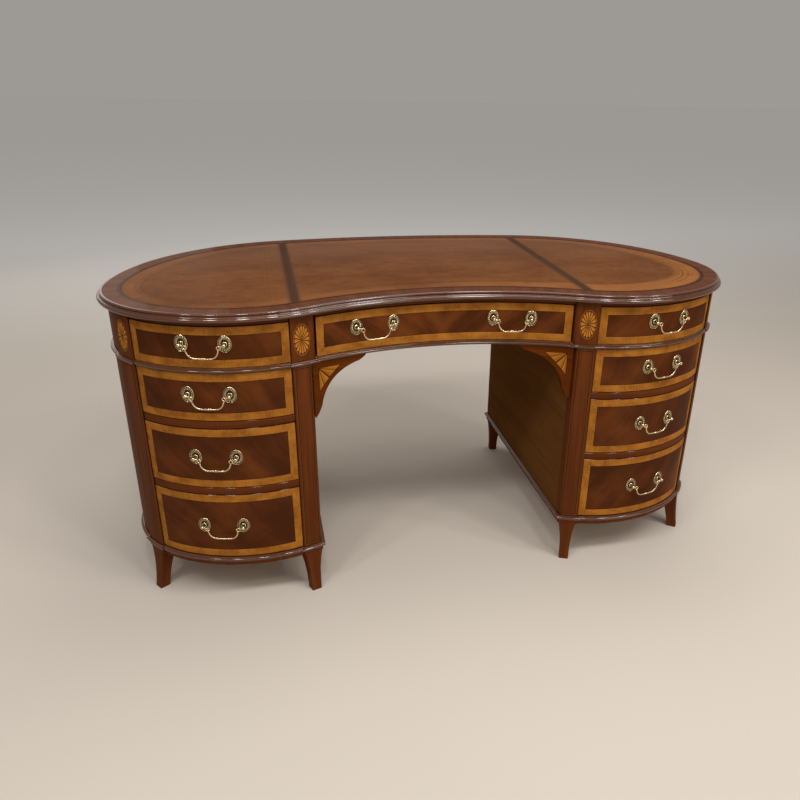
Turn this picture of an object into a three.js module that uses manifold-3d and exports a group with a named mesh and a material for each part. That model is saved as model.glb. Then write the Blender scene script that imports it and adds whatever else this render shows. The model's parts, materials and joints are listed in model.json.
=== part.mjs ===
// A kidney shaped writing desk on two pedestals: a moulded top with leather panels, a frieze with three
// drawers, three drawers in each pedestal, a plinth on splayed feet under each, and bail handles.
// Sizes are in millimetres. X runs along the desk, Y from the sitter's side to the back, Z up from the floor.

import * as THREE from 'three';
import * as BufferGeometryUtils from 'three/addons/utils/BufferGeometryUtils.js';
import Module from 'manifold-3d';

const wasm = await Module();
wasm.setup();

// The top's plan. The kidney's edge is a chain of arcs from the middle of the waist round one end to the
// back: each arc's radius is a share of half the width, and its turn is in degrees. One more arc closes it.
const topWidth = 1630;
const topDepth = 808;
const kidneyArcShares = [
  { bend: -1, radius: 0.968, turn: 24.7 },
  { bend: 1, radius: 0.463, turn: 56.2 },
  { bend: 1, radius: 0.336, turn: 65.8 },
  { bend: 1, radius: 0.65, turn: 73.6 },
];
const stationTurn = 0.5;
const facetLength = 54;
const frontFacetLength = 23;

// Heights, from the floor up
const footHeight = 114;
const apronHeight = 12;
const baseMouldingHeight = 14;
const pedestalDrawerHeights = [177, 155.5, 117.5];
const railHeight = 18;
const midMouldingHeight = 10;
const friezeDrawerHeight = 97;
const topRailHeight = 10;
const topThickness = 20;
const drawerReveal = 1.5;

// Plan of the case under the top
const topOverhang = 21;
const stileProud = 4;
const kneeholeWidth = 660;
const innerStileWidth = 48;
const friezeBlockLap = 10;
const drawerEndShare = 0.895;
const outerStileWidth = 60;
const backStileShare = 0.84;
const wallThickness = 20;
const partitionThickness = 18;
const boardThickness = 12;
const railDepth = 60;

// Top, its moulded edge and the leather
const edgeProfileShares = [
  { inset: 0.2, height: 0 },
  { inset: 0.03, height: 0.14 },
  { inset: 0, height: 0.3 },
  { inset: 0.1, height: 0.48 },
  { inset: 0.36, height: 0.58 },
  { inset: 0.42, height: 0.84 },
  { inset: 0.62, height: 1 },
];
const edgeProfileDepth = 14;
const leatherBorder = 56;
const leatherStripWidth = 18;
const leatherSeamX = 360;
const leatherThickness = 1.2;
const leatherRecess = 1.4;

// Applied mouldings, plinth and feet
const mouldingProjection = 8;
const noseProfileShares = [
  { out: 0.5, up: 0 },
  { out: 1, up: 0.28 },
  { out: 1, up: 0.68 },
  { out: 0.55, up: 1 },
];
const plinthRebate = 6;
const plinthRebateHeight = 12;
const apronThickness = 24;
const apronProud = 1;
const footTopWidth = 52;
const footBottomWidth = 26;
const footTopDepth = 52;
const footBottomDepth = 27;
const innerFootFlare = 6;
const outerFootFlare = 12;
const footSteps = 5;
const footCurvePower = 2.4;

// Kneehole brackets: the outline's points as shares of the length along the frieze and the drop down the stile
const bracketLength = 134;
const bracketDrop = 146;
const bracketThickness = 18;
const bracketSetback = 5;
const bracketTipShares = { length: 0.865, drop: 0.12, tip: 0.05 };
const bracketToeShares = { length: 0.14, drop: 0.8, toe: 0.05 };
const bracketBowShares = { length: 0.235, drop: 0.26 };

// Drawers
const frontThickness = 22;
const trayWall = 12;
const trayBottom = 9;
const traySideGap = 3;
const trayTopDrop = 16;
const trayBackGap = 12;
const centreTrayLengthShare = 0.62;
const guideHeight = 14;
const runningGap = 0.3;
const guideGap = 0.8;

// Handles
const handleSpacing = 96;
const handleRises = [2.5, 4.75, 7.25];
const friezeHandleRise = 9;
const sideHandleShare = 0.51;
const centreHandleShare = 0.544;
const rosetteWidth = 31;
const rosetteHeight = 40;
const rosetteThickness = 2.4;
const rosetteSides = 10;
const rosetteProfileShares = [
  { out: 0, up: 0 },
  { out: 0.8, up: 0 },
  { out: 1, up: 0.5 },
  { out: 1, up: 1 },
  { out: 0, up: 1 },
];
const seatGap = 0.5;
const ballRadius = 4.8;
const ballSides = 8;
const ballRings = 4;
const postStandoff = 15;
const shankRadius = 2.6;
const shankClearance = 0.5;
const nutRadius = 5.5;
const nutThickness = 4;
const nutGap = 0.8;
const bailRadius = 2;
const bailDrop = 31;
const bailBoreClearance = 0.5;
const boreSides = 8;
const bailSides = 6;
const bailSteps = 15;
const bailPathShares = [
  { along: 0.95, down: 0 },
  { along: 0.86, down: 0.01 },
  { along: 0.78, down: 0.07 },
  { along: 0.74, down: 0.28 },
  { along: 0.7, down: 0.62 },
  { along: 0.61, down: 0.9 },
  { along: 0.45, down: 0.985 },
  { along: 0, down: 1 },
];

// Gaps between pieces that touch on the real desk, and how far a cut runs past what it cuts
const seatClearance = 0.3;
const cutOverrun = 60;

// Levels that follow from the heights
const apronTop = footHeight + apronHeight;
const caseBottom = apronTop + baseMouldingHeight;
const spigotBottom = caseBottom - plinthRebateHeight;
const drawerLevels = [];
let level = caseBottom;
pedestalDrawerHeights.forEach((height, index) => {
  if (index > 0) level += railHeight;
  const opening = { bottom: level, top: level + height + 2 * drawerReveal };
  drawerLevels.push(opening);
  level = opening.top;
});
const caseTop = level;
const friezeFloor = caseTop + midMouldingHeight;
const friezeOpening = { bottom: friezeFloor, top: friezeFloor + friezeDrawerHeight + 2 * drawerReveal };
const friezeTop = friezeOpening.top + topRailHeight;
const deskHeight = friezeTop + topThickness;

// Places in plan that follow from the widths
const halfWidth = topWidth / 2;
const kneeholeX = kneeholeWidth / 2;
const drawerInnerX = kneeholeX + innerStileWidth;
const drawerOuterX = drawerEndShare * halfWidth;
const blockX = kneeholeX - friezeBlockLap;
const stileInset = topOverhang - stileProud;

// Materials
const mahogany = { color: 0x5a2a16, roughness: 0.35, metalness: 0 };
const crotchMahogany = { color: 0x4a2011, roughness: 0.3, metalness: 0 };
const leather = { color: 0x74482c, roughness: 0.5, metalness: 0 };
const drawerLining = { color: 0xb08a5a, roughness: 0.7, metalness: 0 };
const antiqueBrass = { color: 0x8f7a4c, roughness: 0.35, metalness: 1 };

const desk = new THREE.Group();

// Solids, joined and cut
function solid(geometry) {
  const bare = geometry.clone();
  bare.deleteAttribute('normal');
  bare.deleteAttribute('uv');
  const merged = BufferGeometryUtils.mergeVertices(bare);
  const corners = merged.index.array;
  const triangles = [];
  for (let i = 0; i < corners.length; i += 3) {
    const [a, b, c] = [corners[i], corners[i + 1], corners[i + 2]];
    if (a !== b && b !== c && c !== a) triangles.push(a, b, c);
  }
  return new wasm.Manifold(new wasm.Mesh({
    numProp: 3,
    vertProperties: merged.attributes.position.array,
    triVerts: new Uint32Array(triangles),
  }));
}

function geometryOf(body) {
  const mesh = body.getMesh();
  const geometry = new THREE.BufferGeometry();
  geometry.setAttribute('position', new THREE.BufferAttribute(mesh.vertProperties, 3));
  geometry.setIndex(new THREE.BufferAttribute(mesh.triVerts, 1));
  return geometry;
}

// The same solid on the other side of the desk, with its faces turned to point out again
function mirrored(geometry) {
  const copy = geometry.clone().applyMatrix4(new THREE.Matrix4().makeScale(-1, 1, 1));
  const corners = copy.index.array;
  for (let i = 0; i < corners.length; i += 3) {
    [corners[i], corners[i + 1]] = [corners[i + 1], corners[i]];
  }
  return copy;
}

function addPiece(name, geometry, finish, parent = desk) {
  const mesh = new THREE.Mesh(geometry, new THREE.MeshStandardMaterial(finish));
  mesh.name = name;
  parent.add(mesh);
}

function addPair(name, geometry, finish) {
  addPiece(`${name}_right`, geometry, finish);
  addPiece(`${name}_left`, mirrored(geometry), finish);
}

// A solid between two levels, from its plan
function prism(plan, bottom, top) {
  const shape = new THREE.Shape(plan.map(([x, y]) => new THREE.Vector2(x, y)));
  const geometry = new THREE.ExtrudeGeometry(shape, { depth: top - bottom, bevelEnabled: false });
  return solid(geometry.translate(0, 0, bottom));
}

function block(xFrom, xTo, yFrom, yTo, bottom, top) {
  return prism([[xFrom, yFrom], [xTo, yFrom], [xTo, yTo], [xFrom, yTo]], bottom, top);
}

// A skin over rings of points that all have the same count: a closed loop of rings, or a stack with two caps
function loft(rings, looped) {
  const count = rings[0].length;
  const index = [];
  const bands = looped ? rings.length : rings.length - 1;
  for (let r = 0; r < bands; r += 1) {
    const upper = (r + 1) % rings.length;
    for (let i = 0; i < count; i += 1) {
      const next = (i + 1) % count;
      const [a, b, c, d] = [r * count + i, r * count + next, upper * count + next, upper * count + i];
      index.push(a, b, c, a, c, d);
    }
  }
  if (!looped) {
    const last = (rings.length - 1) * count;
    const flat = (ring) => ring.map(([x, y]) => new THREE.Vector2(x, y));
    THREE.ShapeUtils.triangulateShape(flat(rings[0]), []).forEach(([a, b, c]) => index.push(a, c, b));
    THREE.ShapeUtils.triangulateShape(flat(rings[rings.length - 1]), [])
      .forEach(([a, b, c]) => index.push(last + a, last + b, last + c));
  }
  const geometry = new THREE.BufferGeometry();
  geometry.setAttribute('position', new THREE.Float32BufferAttribute(rings.flat(2), 3));
  geometry.setIndex(index);
  return solid(geometry);
}

// The kidney's edge as closely spaced stations, each a point with its outward normal
function walkKidney() {
  const walked = [];
  let [x, y, heading] = [0, 0, 0];
  const walkArc = (bend, radius, turn) => {
    const centreX = x - bend * radius * Math.sin(heading);
    const centreY = y + bend * radius * Math.cos(heading);
    const steps = Math.ceil(THREE.MathUtils.radToDeg(turn) / stationTurn);
    const start = heading;
    for (let i = walked.length > 0 ? 1 : 0; i <= steps; i += 1) {
      heading = start + (bend * turn * i) / steps;
      x = centreX + bend * radius * Math.sin(heading);
      y = centreY - bend * radius * Math.cos(heading);
      walked.push({ x, y, heading });
    }
  };
  kidneyArcShares.forEach((arc) => walkArc(arc.bend, arc.radius, THREE.MathUtils.degToRad(arc.turn)));
  walkArc(1, x / Math.sin(heading), Math.PI - heading);

  const [lowY, highY] = [Math.min(...walked.map((p) => p.y)), Math.max(...walked.map((p) => p.y))];
  const scaleX = halfWidth / Math.max(...walked.map((p) => p.x));
  const scaleY = topDepth / (highY - lowY);
  return walked.map((p) => {
    const tangent = new THREE.Vector2(scaleX * Math.cos(p.heading), scaleY * Math.sin(p.heading)).normalize();
    return {
      x: scaleX * p.x, y: scaleY * (p.y - (lowY + highY) / 2), nx: tangent.y, ny: -tangent.x,
    };
  });
}

const stations = walkKidney();

function inward(station, inset) {
  return [station.x - station.nx * inset, station.y - station.ny * inset];
}

// How far each station is along the drawers' faces from the middle of the waist
stations.forEach((station, i) => {
  const [x, y] = inward(station, topOverhang);
  const before = i > 0 ? stations[i - 1] : station;
  const [beforeX, beforeY] = inward(before, topOverhang);
  station.run = (before.run ?? 0) + Math.hypot(x - beforeX, y - beforeY);
});
const wholeRun = stations[stations.length - 1].run;

function between(a, b, share) {
  const mix = (key) => THREE.MathUtils.lerp(a[key], b[key], share);
  const normal = new THREE.Vector2(mix('nx'), mix('ny')).normalize();
  return { x: mix('x'), y: mix('y'), nx: normal.x, ny: normal.y, run: mix('run') };
}

function stationAt(run) {
  const i = Math.max(1, stations.findIndex((station) => station.run >= run - Number.EPSILON * wholeRun));
  const [a, b] = [stations[i - 1], stations[i]];
  return between(a, b, (run - a.run) / (b.run - a.run));
}

// The station whose inset point lies at x, on the front edge or on the back edge
function stationAtX(x, inset, atBack = false) {
  const order = atBack ? [...stations].reverse() : stations;
  const i = order.findIndex((station) => inward(station, inset)[0] >= x);
  if (i === 0) return order[0];
  const [xBefore, xAfter] = [inward(order[i - 1], inset)[0], inward(order[i], inset)[0]];
  return between(order[i - 1], order[i], (x - xBefore) / (xAfter - xBefore));
}

function edgeY(x, inset, atBack = false) {
  return inward(stationAtX(Math.abs(x), inset, atBack), inset)[1];
}

// Where the case's face steps out to a stile and back again, as runs along the face
const innerStileEnd = stationAtX(drawerInnerX, topOverhang).run;
const outerStileStart = stationAtX(drawerOuterX, topOverhang).run;
const outerStileEnd = outerStileStart + outerStileWidth;
const backStileStart = stationAtX(backStileShare * halfWidth, topOverhang, true).run - outerStileWidth / 2;
const backStileEnd = backStileStart + outerStileWidth;
const backInnerStileStart = stationAtX(drawerInnerX, topOverhang, true).run;
const outerMarks = [innerStileEnd, outerStileStart, outerStileEnd, backStileStart, backStileEnd,
  backInnerStileStart];
const friezeMarks = [0, stationAtX(blockX, topOverhang).run, ...outerMarks,
  stationAtX(blockX, topOverhang, true).run, wholeRun];
const pedestalMarks = [stationAtX(kneeholeX, stileInset).run, ...outerMarks,
  stationAtX(kneeholeX, stileInset, true).run];

// The case's outline, pushed out by a projection: stiles stand proud, and a moulding breaks out round them.
// Every outline of the same marks has the same count of points.
function faceOutline(marks, firstIsProud, projection) {
  const points = [];
  marks.slice(1).forEach((end, i) => {
    const start = marks[i];
    const proud = (i % 2 === 0) === firstIsProud;
    const inset = (proud ? stileInset : topOverhang) - projection;
    const spread = proud ? projection : -projection;
    let from = i > 0 ? start - spread : start;
    let to = i < marks.length - 2 ? end + spread : end;
    if (firstIsProud && i === 0) from = stationAtX(kneeholeX - projection, inset).run;
    if (firstIsProud && i === marks.length - 2) to = stationAtX(kneeholeX - projection, inset, true).run;
    const steps = Math.max(1, Math.ceil((end - start) / facetLength));
    for (let k = 0; k <= steps; k += 1) {
      points.push(inward(stationAt(THREE.MathUtils.lerp(from, to, k / steps)), inset));
    }
  });
  return points;
}

function bothSides(half) {
  return [...half, ...half.slice(1, -1).reverse().map(([x, y]) => [-x, y])];
}

const friezeOutline = (projection) => bothSides(faceOutline(friezeMarks, false, projection));
const pedestalOutline = (projection) => faceOutline(pedestalMarks, true, projection);

// A smooth outline parallel to the top's edge, right round or from one run to another
function edgeRun(inset, from, to) {
  const steps = Math.ceil((to - from) / facetLength);
  return Array.from({ length: steps + 1 }, (_, i) => (
    inward(stationAt(THREE.MathUtils.lerp(from, to, i / steps)), inset)));
}

function kidneyOutline(inset) {
  return bothSides(edgeRun(inset, 0, wholeRun));
}

// The part of the kidney beyond x, closed by a straight side
function endOutline(inset, x) {
  return edgeRun(inset, stationAtX(x, inset).run, stationAtX(x, inset, true).run);
}

// The part of the kidney between -x and x
function middleOutline(inset, x) {
  return bothSides([...edgeRun(inset, 0, stationAtX(x, inset).run),
    ...edgeRun(inset, stationAtX(x, inset, true).run, wholeRun)]);
}

function ringAt(outline, height) {
  return outline.map(([x, y]) => [x, y, height]);
}

// Top with its moulded edge, recessed for three leather panels
function makeTop() {
  const rings = edgeProfileShares.map((point) => ringAt(
    kidneyOutline(point.inset * edgeProfileDepth),
    friezeTop + point.height * topThickness,
  ));
  const recessFloor = deskHeight - leatherRecess;
  const seams = { centre: leatherSeamX - leatherStripWidth / 2, end: leatherSeamX + leatherStripWidth / 2 };
  let top = loft(rings, false);
  const panels = (clearance) => ({
    centre: middleOutline(leatherBorder + clearance, seams.centre - clearance),
    end: endOutline(leatherBorder + clearance, seams.end + clearance),
  });
  const recesses = panels(0);
  const recessTop = deskHeight + cutOverrun;
  top = top.subtract(prism(recesses.centre, recessFloor, recessTop));
  const endRecess = prism(recesses.end, recessFloor, recessTop);
  top = top.subtract(endRecess).subtract(solid(mirrored(geometryOf(endRecess))));
  addPiece('desk_top', geometryOf(top), mahogany);

  const skins = panels(seatClearance);
  const leatherTop = recessFloor + leatherThickness;
  addPiece('leather_centre', geometryOf(prism(skins.centre, recessFloor, leatherTop)), leather);
  addPair('leather', geometryOf(prism(skins.end, recessFloor, leatherTop)), leather);
}

// The inside of a carcass between two levels, with room for drawers to pass the front
function cavity(plan, openingFrom, openingTo, bottom, openingTop, insideTop) {
  const mouth = block(openingFrom, openingTo, -topDepth, 0, bottom, openingTop);
  return prism(plan, bottom, insideTop).add(mouth);
}

// The back end of every pedestal and side tray
const trayBackY = edgeY(drawerOuterX, topOverhang + wallThickness, true) - trayBackGap;
const trayInnerX = drawerInnerX + drawerReveal + traySideGap;
const trayOuterX = drawerOuterX - drawerReveal - traySideGap;
const centreTrayX = blockX - drawerReveal - traySideGap;
const trayFrontInset = topOverhang + frontThickness + seatClearance;
const centreTrayBackY = THREE.MathUtils.lerp(
  edgeY(0, trayFrontInset), edgeY(0, topOverhang + wallThickness, true), centreTrayLengthShare);

// Strips on the boards beside a tray keep it running straight
function guide(xFrom, xTo, backY, floor) {
  const frontY = Math.max(edgeY(xFrom, trayFrontInset), edgeY(xTo, trayFrontInset)) + guideGap;
  return block(xFrom, xTo, frontY, backY, floor - boardThickness / 2, floor + guideHeight);
}

// Frieze: the carcass that carries the top and holds its three drawers
function makeFrieze() {
  const innerInset = topOverhang + wallThickness;
  const partitionInnerX = kneeholeX + (innerStileWidth - partitionThickness) / 2 - stileProud;
  const partitionOuterX = partitionInnerX + partitionThickness;
  const guideOuterX = trayOuterX + guideGap + partitionThickness;
  const over = friezeTop + cutOverrun;
  let frieze = prism(friezeOutline(0), caseTop, friezeTop);
  const centre = cavity(middleOutline(innerInset, partitionInnerX), -blockX, blockX,
    friezeOpening.bottom, friezeOpening.top, over);
  const end = cavity(endOutline(innerInset, partitionOuterX), drawerInnerX, drawerOuterX,
    friezeOpening.bottom, friezeOpening.top, over);
  const endWithGuides = end
    .subtract(guide(partitionOuterX, trayInnerX - guideGap, trayBackY, friezeFloor))
    .subtract(guide(trayOuterX + guideGap, guideOuterX, trayBackY, friezeFloor));
  const centreGuide = guide(centreTrayX + guideGap, partitionInnerX, centreTrayBackY, friezeFloor);
  const centreWithGuides = centre.subtract(centreGuide)
    .subtract(solid(mirrored(geometryOf(centreGuide))));
  frieze = frieze.subtract(centreWithGuides).subtract(endWithGuides)
    .subtract(solid(mirrored(geometryOf(endWithGuides))));
  addPiece('frieze_case', geometryOf(frieze), mahogany);
}

// A rounded moulding run round an outline between two levels
function mouldingRings(outline, bottom, height, innerProjection) {
  const nose = noseProfileShares.map((point) => ringAt(
    outline(point.out * mouldingProjection), bottom + point.up * height));
  return [ringAt(outline(innerProjection), bottom), ...nose, ringAt(outline(innerProjection), bottom + height)];
}

function makeMidMoulding() {
  const rings = mouldingRings(friezeOutline, caseTop, midMouldingHeight, seatClearance);
  addPiece('mid_moulding', geometryOf(loft(rings, true)), mahogany);
}

// Pedestal carcass: stiles, rails, boards with guides, and walls, with three openings at the front
function makePedestalCase() {
  const insideX = kneeholeX + wallThickness;
  const plan = endOutline(topOverhang + wallThickness, insideX);
  let body = prism(pedestalOutline(0), caseBottom, caseTop)
    .add(prism(pedestalOutline(-plinthRebate), spigotBottom, caseBottom + boardThickness / 2));
  const wallX = Math.max(...plan.map(([x]) => x));
  const guideOuterX = Math.min(trayOuterX + guideGap + partitionThickness, wallX);
  drawerLevels.forEach((opening, i) => {
    const isTop = i === drawerLevels.length - 1;
    const roof = isTop ? caseTop + cutOverrun : opening.top + railHeight - boardThickness;
    const room = prism(plan, opening.bottom, roof);
    const behindRail = block(drawerInnerX, drawerOuterX, -topDepth,
      edgeY(drawerInnerX, topOverhang) + railDepth, opening.top, opening.top + railHeight);
    const mouth = block(drawerInnerX, drawerOuterX, -topDepth, 0, opening.bottom, opening.top);
    body = body.subtract(room.subtract(behindRail).add(mouth));
    body = body.add(guide(insideX - boardThickness / 2, trayInnerX - guideGap, trayBackY, opening.bottom))
      .add(guide(trayOuterX + guideGap, guideOuterX, trayBackY, opening.bottom));
  });
  addPair('pedestal_case', geometryOf(body), mahogany);
}

// A foot's width, depth and flare at a share of its height: straight near the floor, curving in at the top
function footSection(share, flare) {
  const grow = share ** footCurvePower;
  return {
    width: THREE.MathUtils.lerp(footBottomWidth, footTopWidth, grow),
    depth: THREE.MathUtils.lerp(footBottomDepth, footTopDepth, grow),
    out: apronProud / 2 + flare * (1 - share) ** 2,
    height: share * spigotBottom,
  };
}

// A foot under a stile, splayed along the face's normal
function foot(station, flare) {
  const rings = Array.from({ length: footSteps + 1 }, (_, i) => {
    const section = footSection(i / footSteps, flare);
    const [x, y] = inward(station, stileInset - section.out);
    const corner = (along, inwards) => [
      x - station.ny * along - station.nx * inwards,
      y + station.nx * along - station.ny * inwards,
      section.height,
    ];
    const half = section.width / 2;
    return [corner(-half, 0), corner(half, 0), corner(half, section.depth), corner(-half, section.depth)];
  });
  return loft(rings, false);
}

// Plinth: the base moulding, the apron under it and four splayed feet
function makePlinth() {
  const outline = pedestalOutline;
  const moulding = mouldingRings(outline, apronTop, baseMouldingHeight, seatClearance - plinthRebate);
  const rings = [
    ringAt(outline(seatClearance - plinthRebate), spigotBottom),
    ringAt(outline(-apronThickness), spigotBottom),
    ringAt(outline(-apronThickness), footHeight),
    ringAt(outline(apronProud), footHeight),
    ringAt(outline(apronProud), apronTop),
    ...moulding.slice(1),
  ];
  const innerFootX = kneeholeX + innerStileWidth / 2;
  const feet = [
    foot(stationAtX(innerFootX, topOverhang), innerFootFlare),
    foot(stationAt((outerStileStart + outerStileEnd) / 2), outerFootFlare),
    foot(stationAt((backStileStart + backStileEnd) / 2), outerFootFlare),
    foot(stationAtX(innerFootX, topOverhang, true), innerFootFlare),
  ];
  const plinth = feet.reduce((whole, part) => whole.add(part), loft(rings, true));
  addPair('plinth', geometryOf(plinth), mahogany);
}

// Kneehole bracket: an ogee ended spandrel under the frieze, bent along the waist
function makeBracket() {
  const outerX = kneeholeX - seatClearance;
  const at = (length, drop) => new THREE.Vector2(outerX - length * bracketLength, caseTop - drop * bracketDrop);
  const shape = new THREE.Shape();
  const tip = at(bracketTipShares.length, bracketTipShares.drop);
  const toe = at(bracketToeShares.length, bracketToeShares.drop);
  const bow = at(bracketBowShares.length, bracketBowShares.drop);
  const tipStart = at(1, bracketTipShares.tip);
  const toeEnd = at(bracketToeShares.toe, 1);
  shape.moveTo(...at(0, 0).toArray());
  shape.lineTo(...at(1, 0).toArray());
  shape.quadraticCurveTo(tipStart.x, tipStart.y, ...tip.toArray());
  shape.quadraticCurveTo(bow.x, bow.y, ...toe.toArray());
  shape.quadraticCurveTo(toeEnd.x, toeEnd.y, ...at(0, 1).toArray());
  shape.closePath();
  const geometry = new THREE.ExtrudeGeometry(shape, {
    depth: bracketThickness, bevelEnabled: false, curveSegments: 6,
  });
  const position = geometry.attributes.position;
  for (let i = 0; i < position.count; i += 1) {
    const [x, height, depth] = [position.getX(i), position.getY(i), position.getZ(i)];
    position.setXYZ(i, x, edgeY(x, topOverhang + bracketSetback) + bracketThickness - depth, height);
  }
  addPair('kneehole_bracket', geometryOf(solid(geometry)), mahogany);
}

// Points along the front edge between two places in x
function frontRun(inset, xFrom, xTo) {
  const steps = Math.ceil((xTo - xFrom) / frontFacetLength);
  return Array.from({ length: steps + 1 }, (_, i) => {
    const x = THREE.MathUtils.lerp(xFrom, xTo, i / steps);
    return [x, edgeY(x, inset)];
  });
}

// Bowed drawer front, bored for the handles' posts
function drawerFront(xFrom, xTo, opening, postBores) {
  const plan = [...frontRun(topOverhang, xFrom + drawerReveal, xTo - drawerReveal),
    ...frontRun(topOverhang + frontThickness, xFrom + drawerReveal, xTo - drawerReveal).reverse()];
  let front = prism(plan, opening.bottom + drawerReveal, opening.top - drawerReveal);
  postBores.forEach((bore) => {
    front = front.subtract(bore);
  });
  return geometryOf(front);
}

// Open box behind a front: bottom, two sides and a back
function drawerTray(xFrom, xTo, backY, opening) {
  const plan = [...frontRun(trayFrontInset, xFrom, xTo), [xTo, backY], [xFrom, backY]];
  const [bottom, top] = [opening.bottom + runningGap, opening.top - drawerReveal - trayTopDrop];
  const inside = block(xFrom + trayWall, xTo - trayWall, -topDepth, backY - trayWall,
    bottom + trayBottom, top + cutOverrun);
  return geometryOf(prism(plan, bottom, top).subtract(inside));
}

// Rosette with a ball headed post, whose shank runs through the drawer front to a nut
function rosetteAndPost(x, tilt, boreSide) {
  const profile = rosetteProfileShares.map((point) => (
    new THREE.Vector2((point.out * rosetteWidth) / 2, point.up * rosetteThickness)));
  const plate = new THREE.LatheGeometry(profile, rosetteSides)
    .scale(1, 1, rosetteHeight / rosetteWidth).translate(0, -seatGap - rosetteThickness, 0);
  const rod = (radius, from, to) => new THREE.CylinderGeometry(radius, radius, to - from, bailSides)
    .translate(0, (from + to) / 2, 0);
  const nutFrom = frontThickness + nutGap;
  const ball = new THREE.SphereGeometry(ballRadius, ballSides, ballRings).translate(0, -postStandoff, 0);
  const shank = rod(shankRadius, -postStandoff, nutFrom + nutThickness / 2);
  const nut = rod(nutRadius, nutFrom, nutFrom + nutThickness);
  const post = solid(plate).add(solid(shank)).add(solid(nut)).add(solid(ball));
  const placed = solid(geometryOf(post).rotateZ(tilt).translate(x, 0, 0));
  const boreLength = ballRadius * 2;
  const boreRadius = bailRadius + bailBoreClearance;
  const bore = new THREE.CylinderGeometry(boreRadius, boreRadius, boreLength, boreSides)
    .rotateZ(Math.PI / 2)
    .translate(
      x + Math.sin(tilt) * postStandoff + boreSide * (boreLength / 2 - bailRadius),
      -postStandoff * Math.cos(tilt),
      0,
    );
  return geometryOf(placed.subtract(solid(bore)));
}

function bail(reach) {
  const half = bailPathShares.map((point) => (
    new THREE.Vector3(point.along * reach, 0, -point.down * bailDrop)));
  const otherHalf = half.slice(0, -1).reverse().map((p) => new THREE.Vector3(-p.x, p.y, p.z));
  const path = new THREE.CatmullRomCurve3([...half, ...otherHalf]);
  const section = new THREE.Shape(Array.from({ length: bailSides }, (_, i) => {
    const angle = (2 * Math.PI * i) / bailSides;
    return new THREE.Vector2(bailRadius * Math.cos(angle), bailRadius * Math.sin(angle));
  }));
  return new THREE.ExtrudeGeometry(section, { steps: bailSteps, bevelEnabled: false, extrudePath: path });
}

// Where a handle's two posts stand on a drawer's face, left post first
function postStations(run, mirror) {
  const ends = [stationAt(run - handleSpacing / 2), stationAt(run + handleSpacing / 2)].map((station) => {
    const [x, y] = inward(station, topOverhang);
    return mirror ? { x: -x, y, nx: -station.nx, ny: station.ny } : { x, y, nx: station.nx, ny: station.ny };
  });
  return mirror ? ends.reverse() : ends;
}

function handleFrame(run, mirror) {
  const [left, right] = postStations(run, mirror);
  const angle = Math.atan2(right.y - left.y, right.x - left.x);
  return {
    left, right, angle,
    x: (left.x + right.x) / 2,
    y: (left.y + right.y) / 2,
    half: Math.hypot(right.x - left.x, right.y - left.y) / 2,
    tilt: (post) => Math.atan2(post.nx, -post.ny) - angle,
  };
}

function makeHandle(name, frame, height) {
  const group = new THREE.Group();
  group.position.set(frame.x, frame.y, height);
  group.rotation.z = frame.angle;
  const sides = [['left', frame.left, -frame.half, 1], ['right', frame.right, frame.half, -1]];
  sides.forEach(([side, post, x, boreSide]) => {
    addPiece(`${name}_post_${side}`, rosetteAndPost(x, frame.tilt(post), boreSide), antiqueBrass, group);
  });
  const tilt = frame.tilt(frame.right);
  const pivot = new THREE.Group();
  pivot.position.y = -postStandoff * Math.cos(tilt);
  group.add(pivot);
  addPiece(`${name}_bail`, bail(frame.half + postStandoff * Math.sin(tilt)), antiqueBrass, pivot);
  desk.add(group);
}

// The hole for a post, square to the face where the post stands
function postBores(frame, height) {
  return [frame.left, frame.right].map((post) => {
    const radius = shankRadius + shankClearance;
    const bore = new THREE.CylinderGeometry(radius, radius, frontThickness * 2, boreSides)
      .translate(0, frontThickness / 2, 0)
      .rotateZ(Math.atan2(post.nx, -post.ny))
      .translate(post.x, post.y, height);
    return solid(bore);
  });
}

const sideHandleRun = THREE.MathUtils.lerp(innerStileEnd, outerStileStart, sideHandleShare);
const centreHandleRun = stationAtX(centreHandleShare * blockX, topOverhang).run;
const openingMiddle = (opening) => (opening.bottom + opening.top) / 2;

// One side drawer with its handle, on the left or the right
function makeSideDrawer(name, opening, handleRise, mirror) {
  const height = openingMiddle(opening) + handleRise;
  const rightFrame = handleFrame(sideHandleRun, false);
  const front = drawerFront(drawerInnerX, drawerOuterX, opening, postBores(rightFrame, height));
  const tray = drawerTray(trayInnerX, trayOuterX, trayBackY, opening);
  addPiece(`${name}_front`, mirror ? mirrored(front) : front, crotchMahogany);
  addPiece(`${name}_tray`, mirror ? mirrored(tray) : tray, drawerLining);
  makeHandle(name, handleFrame(sideHandleRun, mirror), height);
}

function makeCentreDrawer() {
  const height = openingMiddle(friezeOpening) + friezeHandleRise;
  const frames = [handleFrame(centreHandleRun, true), handleFrame(centreHandleRun, false)];
  const bores = frames.flatMap((frame) => postBores(frame, height));
  addPiece('drawer_centre_front', drawerFront(-blockX, blockX, friezeOpening, bores), crotchMahogany);
  addPiece('drawer_centre_tray', drawerTray(-centreTrayX, centreTrayX, centreTrayBackY, friezeOpening),
    drawerLining);
  makeHandle('drawer_centre_a', frames[0], height);
  makeHandle('drawer_centre_b', frames[1], height);
}

makeTop();
makeFrieze();
makeMidMoulding();
makePedestalCase();
makePlinth();
makeBracket();
makeCentreDrawer();
['left', 'right'].forEach((side) => {
  const mirror = side === 'left';
  makeSideDrawer(`drawer_${side}_1`, friezeOpening, friezeHandleRise, mirror);
  [...drawerLevels].reverse().forEach((opening, i) => {
    const rise = handleRises[handleRises.length - 1 - i];
    makeSideDrawer(`drawer_${side}_${i + 2}`, opening, rise, mirror);
  });
});

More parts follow.
